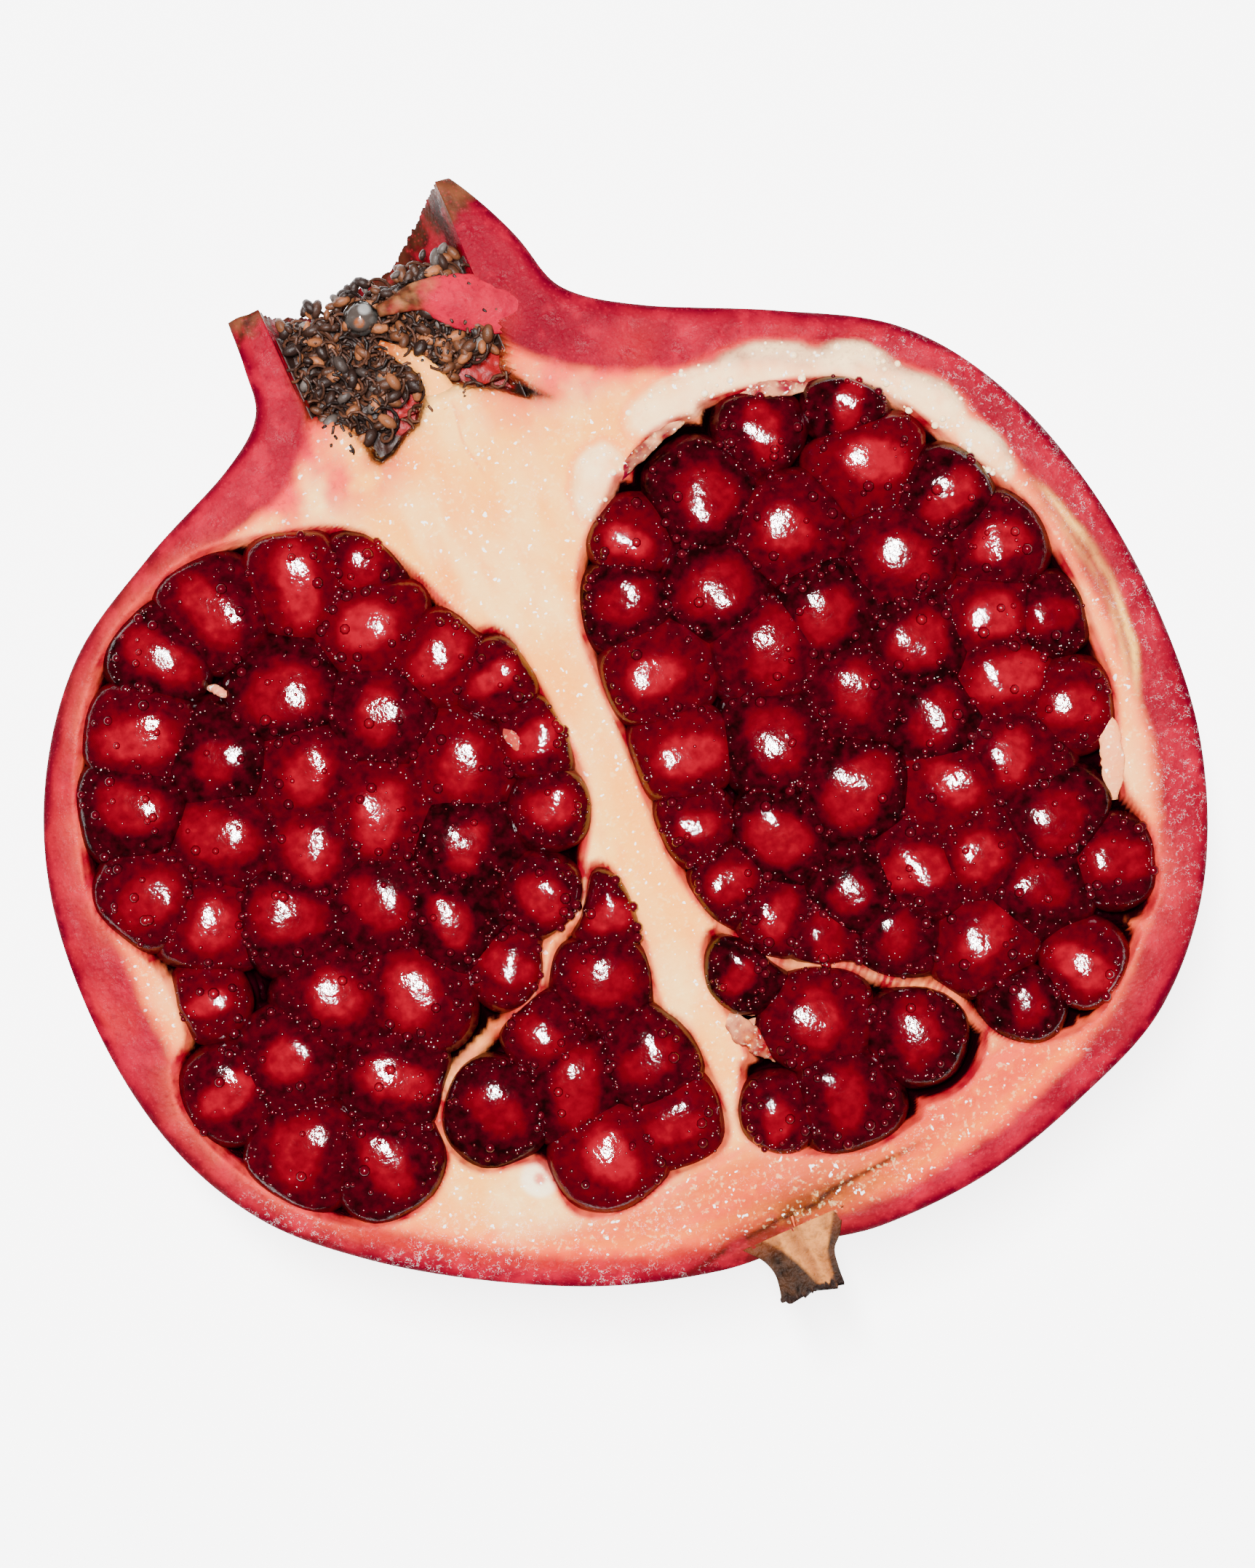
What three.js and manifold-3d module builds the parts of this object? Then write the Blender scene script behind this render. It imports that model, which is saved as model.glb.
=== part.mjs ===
// Half a pomegranate, cut from crown to stem and lying on its rounded back, cut face up.
// Millimetres. +Z is up out of the cut face, +Y runs from the stem to the crown.
// The origin is the middle of the small flat spot that the half rests on.
import * as THREE from "three";
import { mergeVertices } from "three/addons/utils/BufferGeometryUtils.js";
import Module from "manifold-3d";

const wasm = await Module();
wasm.setup();

// Driving dimensions. Shapes are drawn with the cut face at z = 0 and lifted by cutHeight at the end.
const cutHeight = 46.2; // from the resting spot up to the cut face
const backRoundness = 0.95; // depth of a cross-section as a share of its half width
const skinThickness = 3.0; // red rind over the body
const neckThickness = 3.6; // red rind under the crown
const liningThickness = 1.0; // thinnest pith between the rind and the arils
const gap = 0.3; // clearance between neighbouring pieces
const arilRadius = 4.8; // an aril with no close neighbour grows to this
const arilRise = 1.7; // top of a full aril above the cut face
const arilRoot = 5.4; // foot of an aril below the cut face, sunk in its bed
const bedDepth = 3.0; // top of the bed that the arils grow from
const arilSides = 7;
const skinSteps = [28, 18]; // rings from the stem to the crown, points of a ring from right to left
const floorSteps = [14, 12]; // the same for the floors of the chambers
const aboveCut = 6; // cutting solids reach this far above the cut face
const pithEnd = 12.3; // station where the pith ends under the crown

// The fruit's outside in the cut plane, station by station from the stem to the crown
const stemPole = [-2.3, -41.6];
const leftSide = [
  [-9.5, -40.9], [-19, -38.1], [-28.5, -33.3], [-37, -27.5], [-43.8, -20.8],
  [-48.2, -12], [-50, -1], [-49.2, 11], [-45.4, 21.2], [-38.6, 29.8],
  [-29.5, 35.2], [-20.5, 39.2], [-16.2, 42.4], [-15.3, 46.4], [-15, 50.2],
];
const rightSide = [
  [5, -43], [15, -42.6], [25, -39.9], [34.5, -35.6], [42.2, -27.2],
  [46.9, -15.8], [48.1, -3.5], [46.9, 8.5], [43.4, 19.2], [37.6, 27.2],
  [28.5, 32.7], [18.2, 37.8], [12.6, 41.9], [10.7, 46.8], [7.5, 51.6],
];
const stationCount = leftSide.length;

// Crown: how far its rim stands out past the last station, from the right edge round to the left
const rimStretch = [3.1, 3.0, 2.2, 0.9, -0.6, -3.4, -1.6, -0.1, 0.6];
const rimStart = 13.4; // station where the sepals begin to part
const cup = {
  middle: -2.95,
  lean: 0.28, // the foot of the cup leans towards the right
  leanEnd: 41,
  profile: [[0, 34], [6.9, 34], [7.6, 36], [8.1, 38.2], [9.15, 40.8], [9.15, 60], [0, 60]],
  sides: 20,
};
const dome = {
  middle: -0.7,
  profile: [[0, 30], [6.4, 30], [6.6, 34.2], [5.2, 35.8], [3, 37.2], [0, 38.2]],
  sides: 14,
};
const style = {
  spine: [[-0.7, 36.5, -1.5], [-0.9, 40, -1.3], [-2.2, 42, -1.1], [-3.9, 43.9, -0.9]],
  halfWidths: [1.5, 1.1, 0.8, 0.45],
  halfThickness: [1.4, 1.1, 0.8, 0.5],
};
const foldedSepal = {
  spine: [[10.2, 41.2, -1.3], [6.5, 42.9, -0.6], [3.5, 44.8, -0.1], [1, 46.2, 0.2], [-2.8, 46.4, 0.3]],
  halfWidths: [2.1, 2.4, 2.3, 1.3, 0.5],
  halfThickness: [1.0, 0.95, 0.9, 0.75, 0.5],
};
const stub = {
  left: [[-6.9, -40.1], [-5.8, -41.5], [-5.3, -43], [-5.5, -44.6], [-5.8, -45.6]],
  right: [[2.4, -40.1], [1.3, -42], [0.3, -43.1], [0, -44.6], [-0.1, -46]],
  roundness: 0.9,
};
const stamens = {
  count: 42,
  coreTop: -2.2, // the head's core lies this far under the cut face
  coreEnd: 46.6,
  tipTop: 0.4, // anthers stay under this height over the cut face
  reach: [2.4, 4.2],
  filamentRadius: 0.34,
  antherRadius: 0.8,
};

// Chambers that hold the arils: the outline in the cut plane, and the middles of the arils that
// show there, row by row from the crown down and from left to right.
const chambers = {
  arils_left: {
    outline: [
      [-25, 33.2], [-18.5, 32], [-13, 30], [-10.2, 26], [-8.2, 21], [-6.6, 17.8],
      [-4.6, 16.6], [-3.6, 11], [-3.4, 5], [-3.9, 0.5], [-6.2, -3.4], [-8.2, -6.9],
      [-12.4, -8.9], [-14.2, -11.8], [-20, -13.9], [-24.2, -15.7], [-26.9, -18.8],
      [-27.4, -22.4], [-31, -25], [-36, -24.2], [-41.4, -19], [-45.3, -11], [-46, -5],
      [-45, 0], [-45, 5], [-45.3, 9], [-44.5, 14], [-42.8, 19], [-39.8, 24.4], [-35.5, 29.2], [-30, 32],
    ],
    rows: [
      [[-32.1, 27.1], [-26.3, 28.6], [-18.4, 28], [-12.6, 27.2]],
      [[-36.1, 21.4], [-23.3, 19.9], [-14, 22.1]],
      [[-39.8, 16.1], [-31.4, 17.2], [-24.7, 12.9], [-16.8, 14.9], [-9.9, 17]],
      [[-41.4, 8.6], [-33.3, 10.2], [-26.5, 6.4], [-20.1, 7.1], [-12, 8], [-6.3, 13.4]],
      [[-37.3, 4.3], [-30.8, 1.8], [-23.6, 0.2], [-14.2, 1.1], [-6.5, 1.4], [-5, 7.2]],
      [[-40.3, -1.7], [-30.4, -6.1], [-23.3, -8.6], [-17.9, -4.2], [-10.3, -5.1]],
      [[-42, -9.8], [-36.4, -9.5], [-28.6, -14.2], [-15.4, -9.7]],
      [[-37.8, -17], [-31.7, -20.7]],
    ],
  },
  arils_right: {
    outline: [
      [12, 26], [16, 27.2], [21, 27.3], [27, 26], [31.5, 24.2], [35, 20], [38.5, 13.4],
      [41.2, 8], [42, 1], [41.6, -4.5], [41.2, -9], [39.6, -13.4], [38.6, -17],
      [39.2, -21], [38, -25.6], [35.4, -28.2], [31.8, -31.6], [28.2, -33.8], [23.4, -33.4],
      [20.4, -30.8], [18.4, -26], [14.6, -23.6], [11, -20.3], [6.6, -18.4], [3.4, -14.3],
      [2, -10], [1.5, -6], [1.8, 0], [2.1, 6], [2.4, 13], [3.6, 17.4], [6, 21], [9, 23.4],
    ],
    rows: [
      [[9.1, 20], [16.3, 20.5], [23, 23.9], [30.6, 22.9]],
      [[6.1, 14.9], [13.9, 13.3], [22.1, 14.9], [30.3, 17.8]],
      [[6.8, 8.4], [15.8, 6.1], [22.2, 6.8], [29.6, 9], [35.3, 12.4], [37.8, 6.7]],
      [[5.5, 1.1], [13.3, -1.1], [21.3, -0.4], [28.1, 1.6], [34.9, 1], [39.6, -0.8]],
      [[4, -4.8], [10.5, -9.3], [17.7, -7.3], [26.7, -4.9], [33.3, -4.2], [38, -8.7]],
      [[4.8, -11.1], [25.2, -11.3], [32.1, -10.4]],
      [[7.6, -15.1], [14.2, -16], [20.5, -16.6], [26.1, -17.2], [32.2, -16.6]],
      [[10.7, -18.3], [16.3, -21], [22.6, -24.2], [29.2, -21.9], [35.8, -22.4]],
      [[23.5, -30.8], [30, -29.3]],
    ],
  },
  arils_middle: {
    outline: [
      [-5.3, -5], [-4.2, -7], [-4.4, -12], [-5.4, -18], [-4, -21], [-4, -28.4], [-5.6, -31],
      [-10, -31.2], [-14.4, -32.2], [-18.2, -31], [-18.9, -27.2], [-20, -25.2], [-24.4, -24.2],
      [-25.9, -21.6], [-25.4, -19], [-23, -16.7], [-19, -14.9], [-13.4, -12.9], [-10.6, -9.9], [-7.2, -8.2],
    ],
    rows: [
      [[-5.6, -8.6]],
      [[-14.8, -16], [-8.6, -14.1]],
      [[-21.6, -20.4], [-14.5, -21.2], [-7.6, -21.8]],
      [[-14, -28], [-7.3, -27.5]],
    ],
  },
  arils_lower_right: {
    outline: [
      [2, -14.3], [3.6, -16.2], [5.8, -19.5], [10.2, -21.6], [13.8, -24.8], [17.4, -27.2],
      [19.4, -31.6], [21.2, -34.2], [18.6, -36], [13, -35.2], [7, -36], [2, -34.4],
      [-1.6, -32], [-2.2, -29.6], [-0.8, -27], [0.8, -23], [0.2, -18.2], [0.8, -15.4],
    ],
    rows: [
      [[3, -18.1]],
      [[7, -24.4], [14.2, -29]],
      [[0.4, -30.5], [6.2, -31.9]],
    ],
  },
};

const paint = (color, roughness) => new THREE.MeshStandardMaterial({ color, roughness, metalness: 0 });
const rindRed = paint(0xc4243f, 0.4);
const pithCream = paint(0xf2d3ac, 0.6);
const juiceRed = paint(0x6d0c18, 0.12);
const stamenBrown = paint(0x4a3428, 0.8);
const stemBrown = paint(0x9a6b45, 0.75);

// Seeded draw: the same number from 0 to 1 for the same seed
function draw(seed) {
  const s = Math.sin(seed * 12.9898 + 4.1414) * 43758.5453;
  return s - Math.floor(s);
}

function curveThrough(points) {
  const nodes = points.map(([x, y, z = 0]) => new THREE.Vector3(x, y, z));
  return new THREE.CatmullRomCurve3(nodes, false, "catmullrom", 0.5);
}

// Value of a list at share t of its length, read along a smooth line through its values
function valueAlong(values, t) {
  const curve = curveThrough(values.map((v, i) => [i, v]));
  return curve.getPoint(t).y;
}

// A closed geometry as a solid that can be joined and cut
function solidOf(geometry) {
  const bare = geometry.index ? geometry.toNonIndexed() : geometry.clone();
  bare.deleteAttribute("normal");
  bare.deleteAttribute("uv");
  const merged = mergeVertices(bare, 1e-4);
  const vertProperties = new Float32Array(merged.attributes.position.array);
  const triVerts = new Uint32Array(merged.index.array);
  const solid = new wasm.Manifold(new wasm.Mesh({ numProp: 3, vertProperties, triVerts }));
  if (solid.volume() > 0) return solid;
  for (let i = 0; i < triVerts.length; i += 3) {
    [triVerts[i + 1], triVerts[i + 2]] = [triVerts[i + 2], triVerts[i + 1]];
  }
  return new wasm.Manifold(new wasm.Mesh({ numProp: 3, vertProperties, triVerts }));
}

// The node's mesh, lifted so that the resting spot is at z = 0
function meshOf(name, solid, material) {
  const { numProp, vertProperties, triVerts } = solid.getMesh();
  const count = vertProperties.length / numProp;
  const position = new Float32Array(count * 3);
  for (let i = 0; i < count; i += 1) {
    position.set(vertProperties.subarray(i * numProp, i * numProp + 3), i * 3);
  }
  const geometry = new THREE.BufferGeometry();
  geometry.setAttribute("position", new THREE.BufferAttribute(position, 3));
  geometry.setIndex(new THREE.BufferAttribute(triVerts, 1));
  geometry.translate(0, 0, cutHeight);
  geometry.computeVertexNormals();
  const mesh = new THREE.Mesh(geometry, material);
  mesh.name = name;
  return mesh;
}

// The largest body of a solid: cutting can leave scraps, which are dropped
function largestOf(solid) {
  return solid.decompose().reduce((a, b) => (b.volume() > a.volume() ? b : a));
}

// A closed solid from rings of points, capped at both ends from the rings' middles
function loftSolid(rings) {
  const n = rings[0].length;
  const middle = (ring) => [0, 1, 2].map((k) => ring.reduce((sum, p) => sum + p[k], 0) / n);
  const [first, last] = [rings[0], rings[rings.length - 1]];
  const [firstMiddle, lastMiddle] = [middle(first), middle(last)];
  const corners = [];
  for (let j = 0; j < n; j += 1) {
    const k = (j + 1) % n;
    for (let i = 0; i + 1 < rings.length; i += 1) {
      corners.push(rings[i][j], rings[i + 1][j], rings[i + 1][k], rings[i][j], rings[i + 1][k], rings[i][k]);
    }
    corners.push(firstMiddle, first[j], first[k], lastMiddle, last[k], last[j]);
  }
  const geometry = new THREE.BufferGeometry();
  geometry.setAttribute("position", new THREE.Float32BufferAttribute(corners.flat(), 3));
  return solidOf(geometry);
}

// A tapering tongue along a spine, with an elliptic section that is wide in the cut plane
function tongueSolid({ spine, halfWidths, halfThickness }, extra = 0, steps = 8, sides = 8) {
  const curve = curveThrough(spine);
  const rings = [];
  for (let i = 0; i <= steps; i += 1) {
    const t = i / steps;
    const p = curve.getPoint(t);
    const d = curve.getTangent(t);
    const length = Math.hypot(d.x, d.y);
    const across = [-d.y / length, d.x / length];
    const w = valueAlong(halfWidths, t) + extra;
    const h = valueAlong(halfThickness, t) + extra;
    const past = (i === steps ? extra : 0) - (i === 0 ? extra : 0);
    const ring = [];
    for (let j = 0; j < sides; j += 1) {
      const a = (2 * Math.PI * j) / sides;
      const c = w * Math.cos(a);
      ring.push([p.x + across[0] * c + d.x * past, p.y + across[1] * c + d.y * past, p.z + h * Math.sin(a)]);
    }
    rings.push(ring);
  }
  return loftSolid(rings);
}

// A solid turned about the crown's own axis, which runs along Y
function turnedSolid({ middle, profile, sides, lean = 0, leanEnd = 0 }, inset = 0) {
  const inside = profile.map(([r, y]) => {
    return new THREE.Vector2(r > 0 ? r - inset : 0, y < leanEnd ? y + inset : y);
  });
  const geometry = new THREE.LatheGeometry(inside, sides);
  const position = geometry.attributes.position;
  for (let i = 0; i < position.count; i += 1) {
    const y = position.getY(i);
    position.setX(i, position.getX(i) + middle + lean * Math.max(0, leanEnd - y));
    position.setZ(i, position.getZ(i) * backRoundness);
  }
  return solidOf(geometry);
}

const outlineCurve = curveThrough([...leftSide.slice().reverse(), stemPole, ...rightSide]);

// Where station q meets the outside on one side, or a line inset from it
function sidePoint(q, side, inset) {
  const u = (stationCount + side * q) / (2 * stationCount);
  const p = outlineCurve.getPoint(u);
  const t = outlineCurve.getTangent(u);
  return [p.x - t.y * inset, p.y + t.x * inset];
}

// A half ellipse hangs between the two sides at station q. Its ends rise to z = top.
function bodyRing(q, inset, top, roundSteps, stretch) {
  const [lx, ly] = sidePoint(q, -1, inset);
  const [rx, ry] = sidePoint(q, 1, inset);
  const [ax, ay] = sidePoint(q, -1, 0);
  const [bx, by] = sidePoint(q, 1, 0);
  const depth = Math.max(0.4, 0.5 * backRoundness * Math.hypot(bx - ax, by - ay) - inset);
  const ring = [];
  for (let j = 0; j <= roundSteps; j += 1) {
    const v = (Math.PI * j) / roundSteps;
    const c = 0.5 * Math.cos(v);
    const y = (ly + ry) / 2 + (ry - ly) * c + (stretch ? stretch(j / roundSteps) : 0);
    ring.push([(lx + rx) / 2 + (rx - lx) * c, y, -depth * Math.sin(v)]);
  }
  if (top > 0) ring.push([lx, ly, top], [rx, ry, top]);
  return ring;
}

function rindThickness(q) {
  return THREE.MathUtils.lerp(skinThickness, neckThickness, THREE.MathUtils.smoothstep(q, 10, pithEnd));
}

function bodySolid(from, to, inset, top, [alongSteps, roundSteps] = skinSteps, stretched = false) {
  const rings = [];
  for (let i = 0; i <= alongSteps; i += 1) {
    const q = THREE.MathUtils.lerp(from, to, i / alongSteps);
    const share = THREE.MathUtils.smoothstep(q, rimStart, stationCount);
    const stretch = stretched ? (t) => share * valueAlong(rimStretch, t) : null;
    rings.push(bodyRing(q, inset(q), top, roundSteps, stretch));
  }
  return loftSolid(rings);
}

// An outline moved inwards by a distance, corner by corner
function insetOutline(outline, distance) {
  const n = outline.length;
  const area = outline.reduce((sum, [x, y], i) => {
    const [nx, ny] = outline[(i + 1) % n];
    return sum + (x * ny - nx * y) / 2;
  }, 0);
  const turn = Math.sign(area);
  const normal = ([ax, ay], [bx, by]) => {
    const length = Math.hypot(bx - ax, by - ay);
    return [(-turn * (by - ay)) / length, (turn * (bx - ax)) / length];
  };
  return outline.map((p, i) => {
    const a = normal(outline[(i + n - 1) % n], p);
    const b = normal(p, outline[(i + 1) % n]);
    const share = distance / (1 + a[0] * b[0] + a[1] * b[1]);
    return [p[0] + (a[0] + b[0]) * share, p[1] + (a[1] + b[1]) * share];
  });
}

function prismSolid(outline, bottom, top) {
  const shape = new THREE.Shape(outline.map(([x, y]) => new THREE.Vector2(x, y)));
  const geometry = new THREE.ExtrudeGeometry(shape, { depth: top - bottom, bevelEnabled: false });
  geometry.translate(0, 0, bottom);
  return solidOf(geometry);
}

function boxSolid(from, to) {
  const size = to.map((v, i) => v - from[i]);
  const geometry = new THREE.BoxGeometry(...size);
  geometry.translate(...from.map((v, i) => v + size[i] / 2));
  return solidOf(geometry);
}

// A chamber is its outline driven down through the pith as far as the lining
function chamberSolid(outline, inset, top) {
  const depth = (q) => rindThickness(q) + gap + liningThickness + inset;
  const lining = bodySolid(0.9, pithEnd - 0.2, depth, aboveCut, floorSteps);
  const floor = -backRoundness * 50;
  return prismSolid(insetOutline(outline, inset), floor, top).intersect(lining);
}

// How far an aril reaches in a direction: to its own radius, half way to a neighbour or to the wall
function arilReach([x, y], angle, middles, wall) {
  const [cx, cy] = [Math.cos(angle), Math.sin(angle)];
  let reach = arilRadius;
  for (const [nx, ny] of middles) {
    const [dx, dy] = [nx - x, ny - y];
    const towards = dx * cx + dy * cy;
    if (towards > 0.5) reach = Math.min(reach, (dx * dx + dy * dy) / 2 / towards - gap / 2);
  }
  for (let i = 0; i < wall.length; i += 1) {
    const [ax, ay] = wall[i];
    const [bx, by] = wall[(i + 1) % wall.length];
    const [ex, ey] = [bx - ax, by - ay];
    const cross = cx * ey - cy * ex;
    const t = ((ax - x) * ey - (ay - y) * ex) / cross;
    const s = ((ax - x) * cy - (ay - y) * cx) / cross;
    if (t > 0 && s >= 0 && s <= 1) reach = Math.min(reach, t);
  }
  return Math.max(0.9, reach);
}

// One aril: a rounded drop with its foot in the bed and its top just over the cut face
function arilSolid(middle, seed, middles, wall) {
  const start = draw(seed) * Math.PI;
  const reaches = Array.from({ length: arilSides }, (_, j) => {
    return arilReach(middle, start + (2 * Math.PI * j) / arilSides, middles, wall);
  });
  const mean = reaches.reduce((sum, r) => sum + r, 0) / arilSides;
  const rise = arilRise * (0.35 + (0.65 * mean) / arilRadius) + 0.5 * (draw(seed + 0.5) - 0.5);
  const levels = [[-arilRoot, 0.7], [rise - 2.2, 1], [rise - 0.7, 0.72], [rise, 0.2]];
  const rings = levels.map(([z, share]) => reaches.map((r, j) => {
    const angle = start + (2 * Math.PI * j) / arilSides;
    const far = (mean + (r - mean) * Math.min(1, share)) * share;
    return [middle[0] + far * Math.cos(angle), middle[1] + far * Math.sin(angle), z];
  }));
  return loftSolid(rings);
}

function arilsSolid({ outline, rows }, seed) {
  const middles = rows.flat();
  const wall = insetOutline(outline, gap);
  let solid = chamberSolid(outline, gap, -bedDepth);
  middles.forEach((middle, i) => {
    solid = solid.add(arilSolid(middle, seed + i, middles, wall));
  });
  return largestOf(solid.intersect(chamberSolid(outline, gap, aboveCut)));
}

// One stamen: a bent three-sided filament with a pointed knob on its end
function stamenSolid(root, tip, bend, seed) {
  const middle = root.map((v, i) => (v + tip[i]) / 2 + bend[i]);
  const r = stamens.filamentRadius;
  const filament = { spine: [root, middle, tip], halfWidths: [r, r], halfThickness: [r, r] };
  const knob = new THREE.OctahedronGeometry(stamens.antherRadius);
  knob.scale(1, 0.65 + 0.3 * draw(seed), 0.75);
  knob.rotateZ(Math.PI * draw(seed + 0.3));
  knob.translate(...tip);
  return tongueSolid(filament, 0, 2, 3).add(solidOf(knob));
}

function stamensSolid() {
  const inCup = turnedSolid(cup, gap);
  const under = (z) => boxSolid([-20, 30, -20], [20, 56, z]);
  const end = boxSolid([-20, 30, -20], [20, stamens.coreEnd, 10]);
  let solid = inCup.intersect(under(stamens.coreTop)).intersect(end);
  const half = cup.profile[4][0] - 1.6;
  for (let i = 0; i < stamens.count; i += 1) {
    const x = cup.middle + half * (2 * draw(i) - 1);
    const y = THREE.MathUtils.lerp(36.5, stamens.coreEnd, draw(i + 100));
    const reach = THREE.MathUtils.lerp(...stamens.reach, draw(i + 200));
    const lean = 1.5 * (draw(i + 300) - 0.5);
    const atEnd = i % 3 === 0;
    const depth = stamens.coreTop - 1 - 6 * draw(i + 400);
    const root = atEnd ? [x * 0.8, stamens.coreEnd - 1, depth] : [x, y, stamens.coreTop - 1];
    const tip = atEnd
      ? [root[0] + lean, stamens.coreEnd + reach - 1.2, depth + lean]
      : [x + lean, y + 1.2 * reach - 2, stamens.coreTop + reach * 0.62];
    solid = solid.add(stamenSolid(root, tip, [lean * 0.6, -0.6, 0.3], i));
  }
  solid = solid.intersect(inCup).intersect(under(stamens.tipTop));
  solid = solid.subtract(turnedSolid(dome, -gap)).subtract(tongueSolid(style, gap));
  return largestOf(solid.subtract(tongueSolid(foldedSepal, gap)));
}

function stubSolid(extra) {
  const rings = stub.left.map(([lx, ly], i) => {
    const [rx, ry] = stub.right[i];
    const far = i === 0 ? extra : 0;
    const half = Math.hypot(rx - lx, ry - ly) / 2;
    const ring = [];
    for (let j = 0; j <= 8; j += 1) {
      const v = (Math.PI * j) / 8;
      const c = 0.5 * Math.cos(v) * (1 + extra / half);
      const z = -(half * stub.roundness + extra) * Math.sin(v);
      ring.push([(lx + rx) / 2 + (rx - lx) * c, (ly + ry) / 2 + (ry - ly) * c + far, z]);
    }
    if (extra > 0) ring.push([...ring[8].slice(0, 2), aboveCut], [...ring[0].slice(0, 2), aboveCut]);
    return ring;
  });
  return loftSolid(rings);
}

function rindSolid() {
  const outside = bodySolid(0.3, stationCount, () => 0, 0, skinSteps, true);
  const inside = bodySolid(0.6, pithEnd + 0.12, (q) => rindThickness(q), aboveCut);
  const floor = boxSolid([-80, -80, -80], [80, 80, -cutHeight]);
  const wall = outside.subtract(inside).subtract(turnedSolid(cup)).subtract(stubSolid(gap)).subtract(floor);
  return largestOf(wall.add(tongueSolid(foldedSepal)));
}

function pithSolid() {
  const flesh = bodySolid(0.7, pithEnd, (q) => rindThickness(q) + gap, 0).subtract(turnedSolid(cup));
  const cutHalf = boxSolid([-80, -80, -80], [80, 80, 0]);
  let solid = flesh.add(turnedSolid(dome).intersect(cutHalf)).add(tongueSolid(style));
  for (const { outline } of Object.values(chambers)) {
    solid = solid.subtract(chamberSolid(outline, 0, aboveCut));
  }
  return largestOf(solid.subtract(stubSolid(gap)));
}

const pomegranate = new THREE.Group();
pomegranate.add(meshOf("rind", rindSolid(), rindRed));
pomegranate.add(meshOf("pith", pithSolid(), pithCream));
Object.entries(chambers).forEach(([name, chamber], i) => {
  pomegranate.add(meshOf(name, arilsSolid(chamber, 100 * i), juiceRed));
});
pomegranate.add(meshOf("stamens", stamensSolid(), stamenBrown));
pomegranate.add(meshOf("stem", stubSolid(0), stemBrown));

export default pomegranate;
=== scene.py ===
import bpy
import math
import numpy as np
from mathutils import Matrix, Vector


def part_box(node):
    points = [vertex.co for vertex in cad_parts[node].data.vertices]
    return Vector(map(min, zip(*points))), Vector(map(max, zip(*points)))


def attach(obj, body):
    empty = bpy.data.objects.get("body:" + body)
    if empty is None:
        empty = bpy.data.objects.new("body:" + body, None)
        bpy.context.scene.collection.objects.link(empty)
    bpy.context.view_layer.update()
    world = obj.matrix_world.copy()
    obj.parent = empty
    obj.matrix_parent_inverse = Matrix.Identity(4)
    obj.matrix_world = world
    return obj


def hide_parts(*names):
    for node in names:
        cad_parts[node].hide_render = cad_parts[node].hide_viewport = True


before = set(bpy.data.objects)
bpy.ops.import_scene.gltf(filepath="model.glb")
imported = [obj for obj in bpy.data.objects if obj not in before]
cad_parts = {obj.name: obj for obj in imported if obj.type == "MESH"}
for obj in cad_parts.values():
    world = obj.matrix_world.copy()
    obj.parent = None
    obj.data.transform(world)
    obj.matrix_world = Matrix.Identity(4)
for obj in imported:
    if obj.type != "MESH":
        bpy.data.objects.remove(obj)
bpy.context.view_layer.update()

mm = 0.001
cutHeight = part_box("pith")[1][2] / mm  # all shapes are drawn with the cut face at z = 0

# The outside of the fruit in the cut plane, station by station from the stem to the crown, in mm
body = {
    "pole": (-2.3, -41.6),
    "left": [
        (-9.5, -40.9), (-19, -38.1), (-28.5, -33.3), (-37, -27.5), (-43.8, -20.8),
        (-48.2, -12), (-50, -1), (-49.2, 11), (-45.4, 21.2), (-38.6, 29.8),
        (-29.5, 35.2), (-20.5, 39.2), (-16.2, 42.4), (-15.3, 46.4), (-15, 50.2)],
    "right": [
        (5, -43), (15, -42.6), (25, -39.9), (34.5, -35.6), (42.2, -27.2),
        (46.9, -15.8), (48.1, -3.5), (46.9, 8.5), (43.4, 19.2), (37.6, 27.2),
        (28.5, 32.7), (18.2, 37.8), (12.6, 41.9), (10.7, 46.8), (7.5, 51.6)],
    "roundness": 0.95,
    "edgeDrop": 0.6,        # the skin starts this far under the cut face, round a soft edge
    "edgeWidth": 1.4,
    "skin": 3.0,            # red rind, thicker under the crown
    "neckSkin": 3.6,
    "rimStretch": [3.1, 3.0, 1.6, -0.2, -1.0, -1.8, -0.8, -0.1, 0.6],
    "rimStart": 13.4,
    "seam": 12.4,           # station where the pith hands over to the crown's wall
    "rows": 326, "bandColumns": 14, "middleColumns": 312, "shellColumns": 24,
}

# Width of the red in the cut, station by station on each side
redWidth = {
    "left": [2.3, 2.6, 3.0, 3.2, 3.6, 4.2, 4.8, 5.0, 4.2, 3.2, 2.6, 3.2, 5.2, 5.0, 4.5, 4.0],
    "right": [2.2, 2.4, 2.8, 3.2, 3.8, 4.4, 4.6, 4.6, 4.4, 4.0, 4.2, 5.0, 6.6, 7.0, 6.0, 5.0],
}

cup = {
    "middle": -2.95, "radius": 9.15,
    "outline": [
        (-12.2, 62), (-12.2, 48), (-12.2, 44), (-11.9, 41.8), (-12.1, 40.4), (-10, 39.3),
        (-9, 38), (-8.6, 36.5), (-8.5, 35), (-8, 34.3), (-6.5, 34.6), (-5, 35.6), (-3.5, 36.1),
        (-2.6, 37.2), (-1.8, 38.3), (0.7, 38), (2, 37.1), (4, 36), (6, 34.3), (7.8, 33.7),
        (6.6, 35.4), (5.6, 36.8), (5.3, 38), (6, 39), (6.2, 41), (6, 46), (6.2, 49), (6.2, 62)],
}

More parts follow.
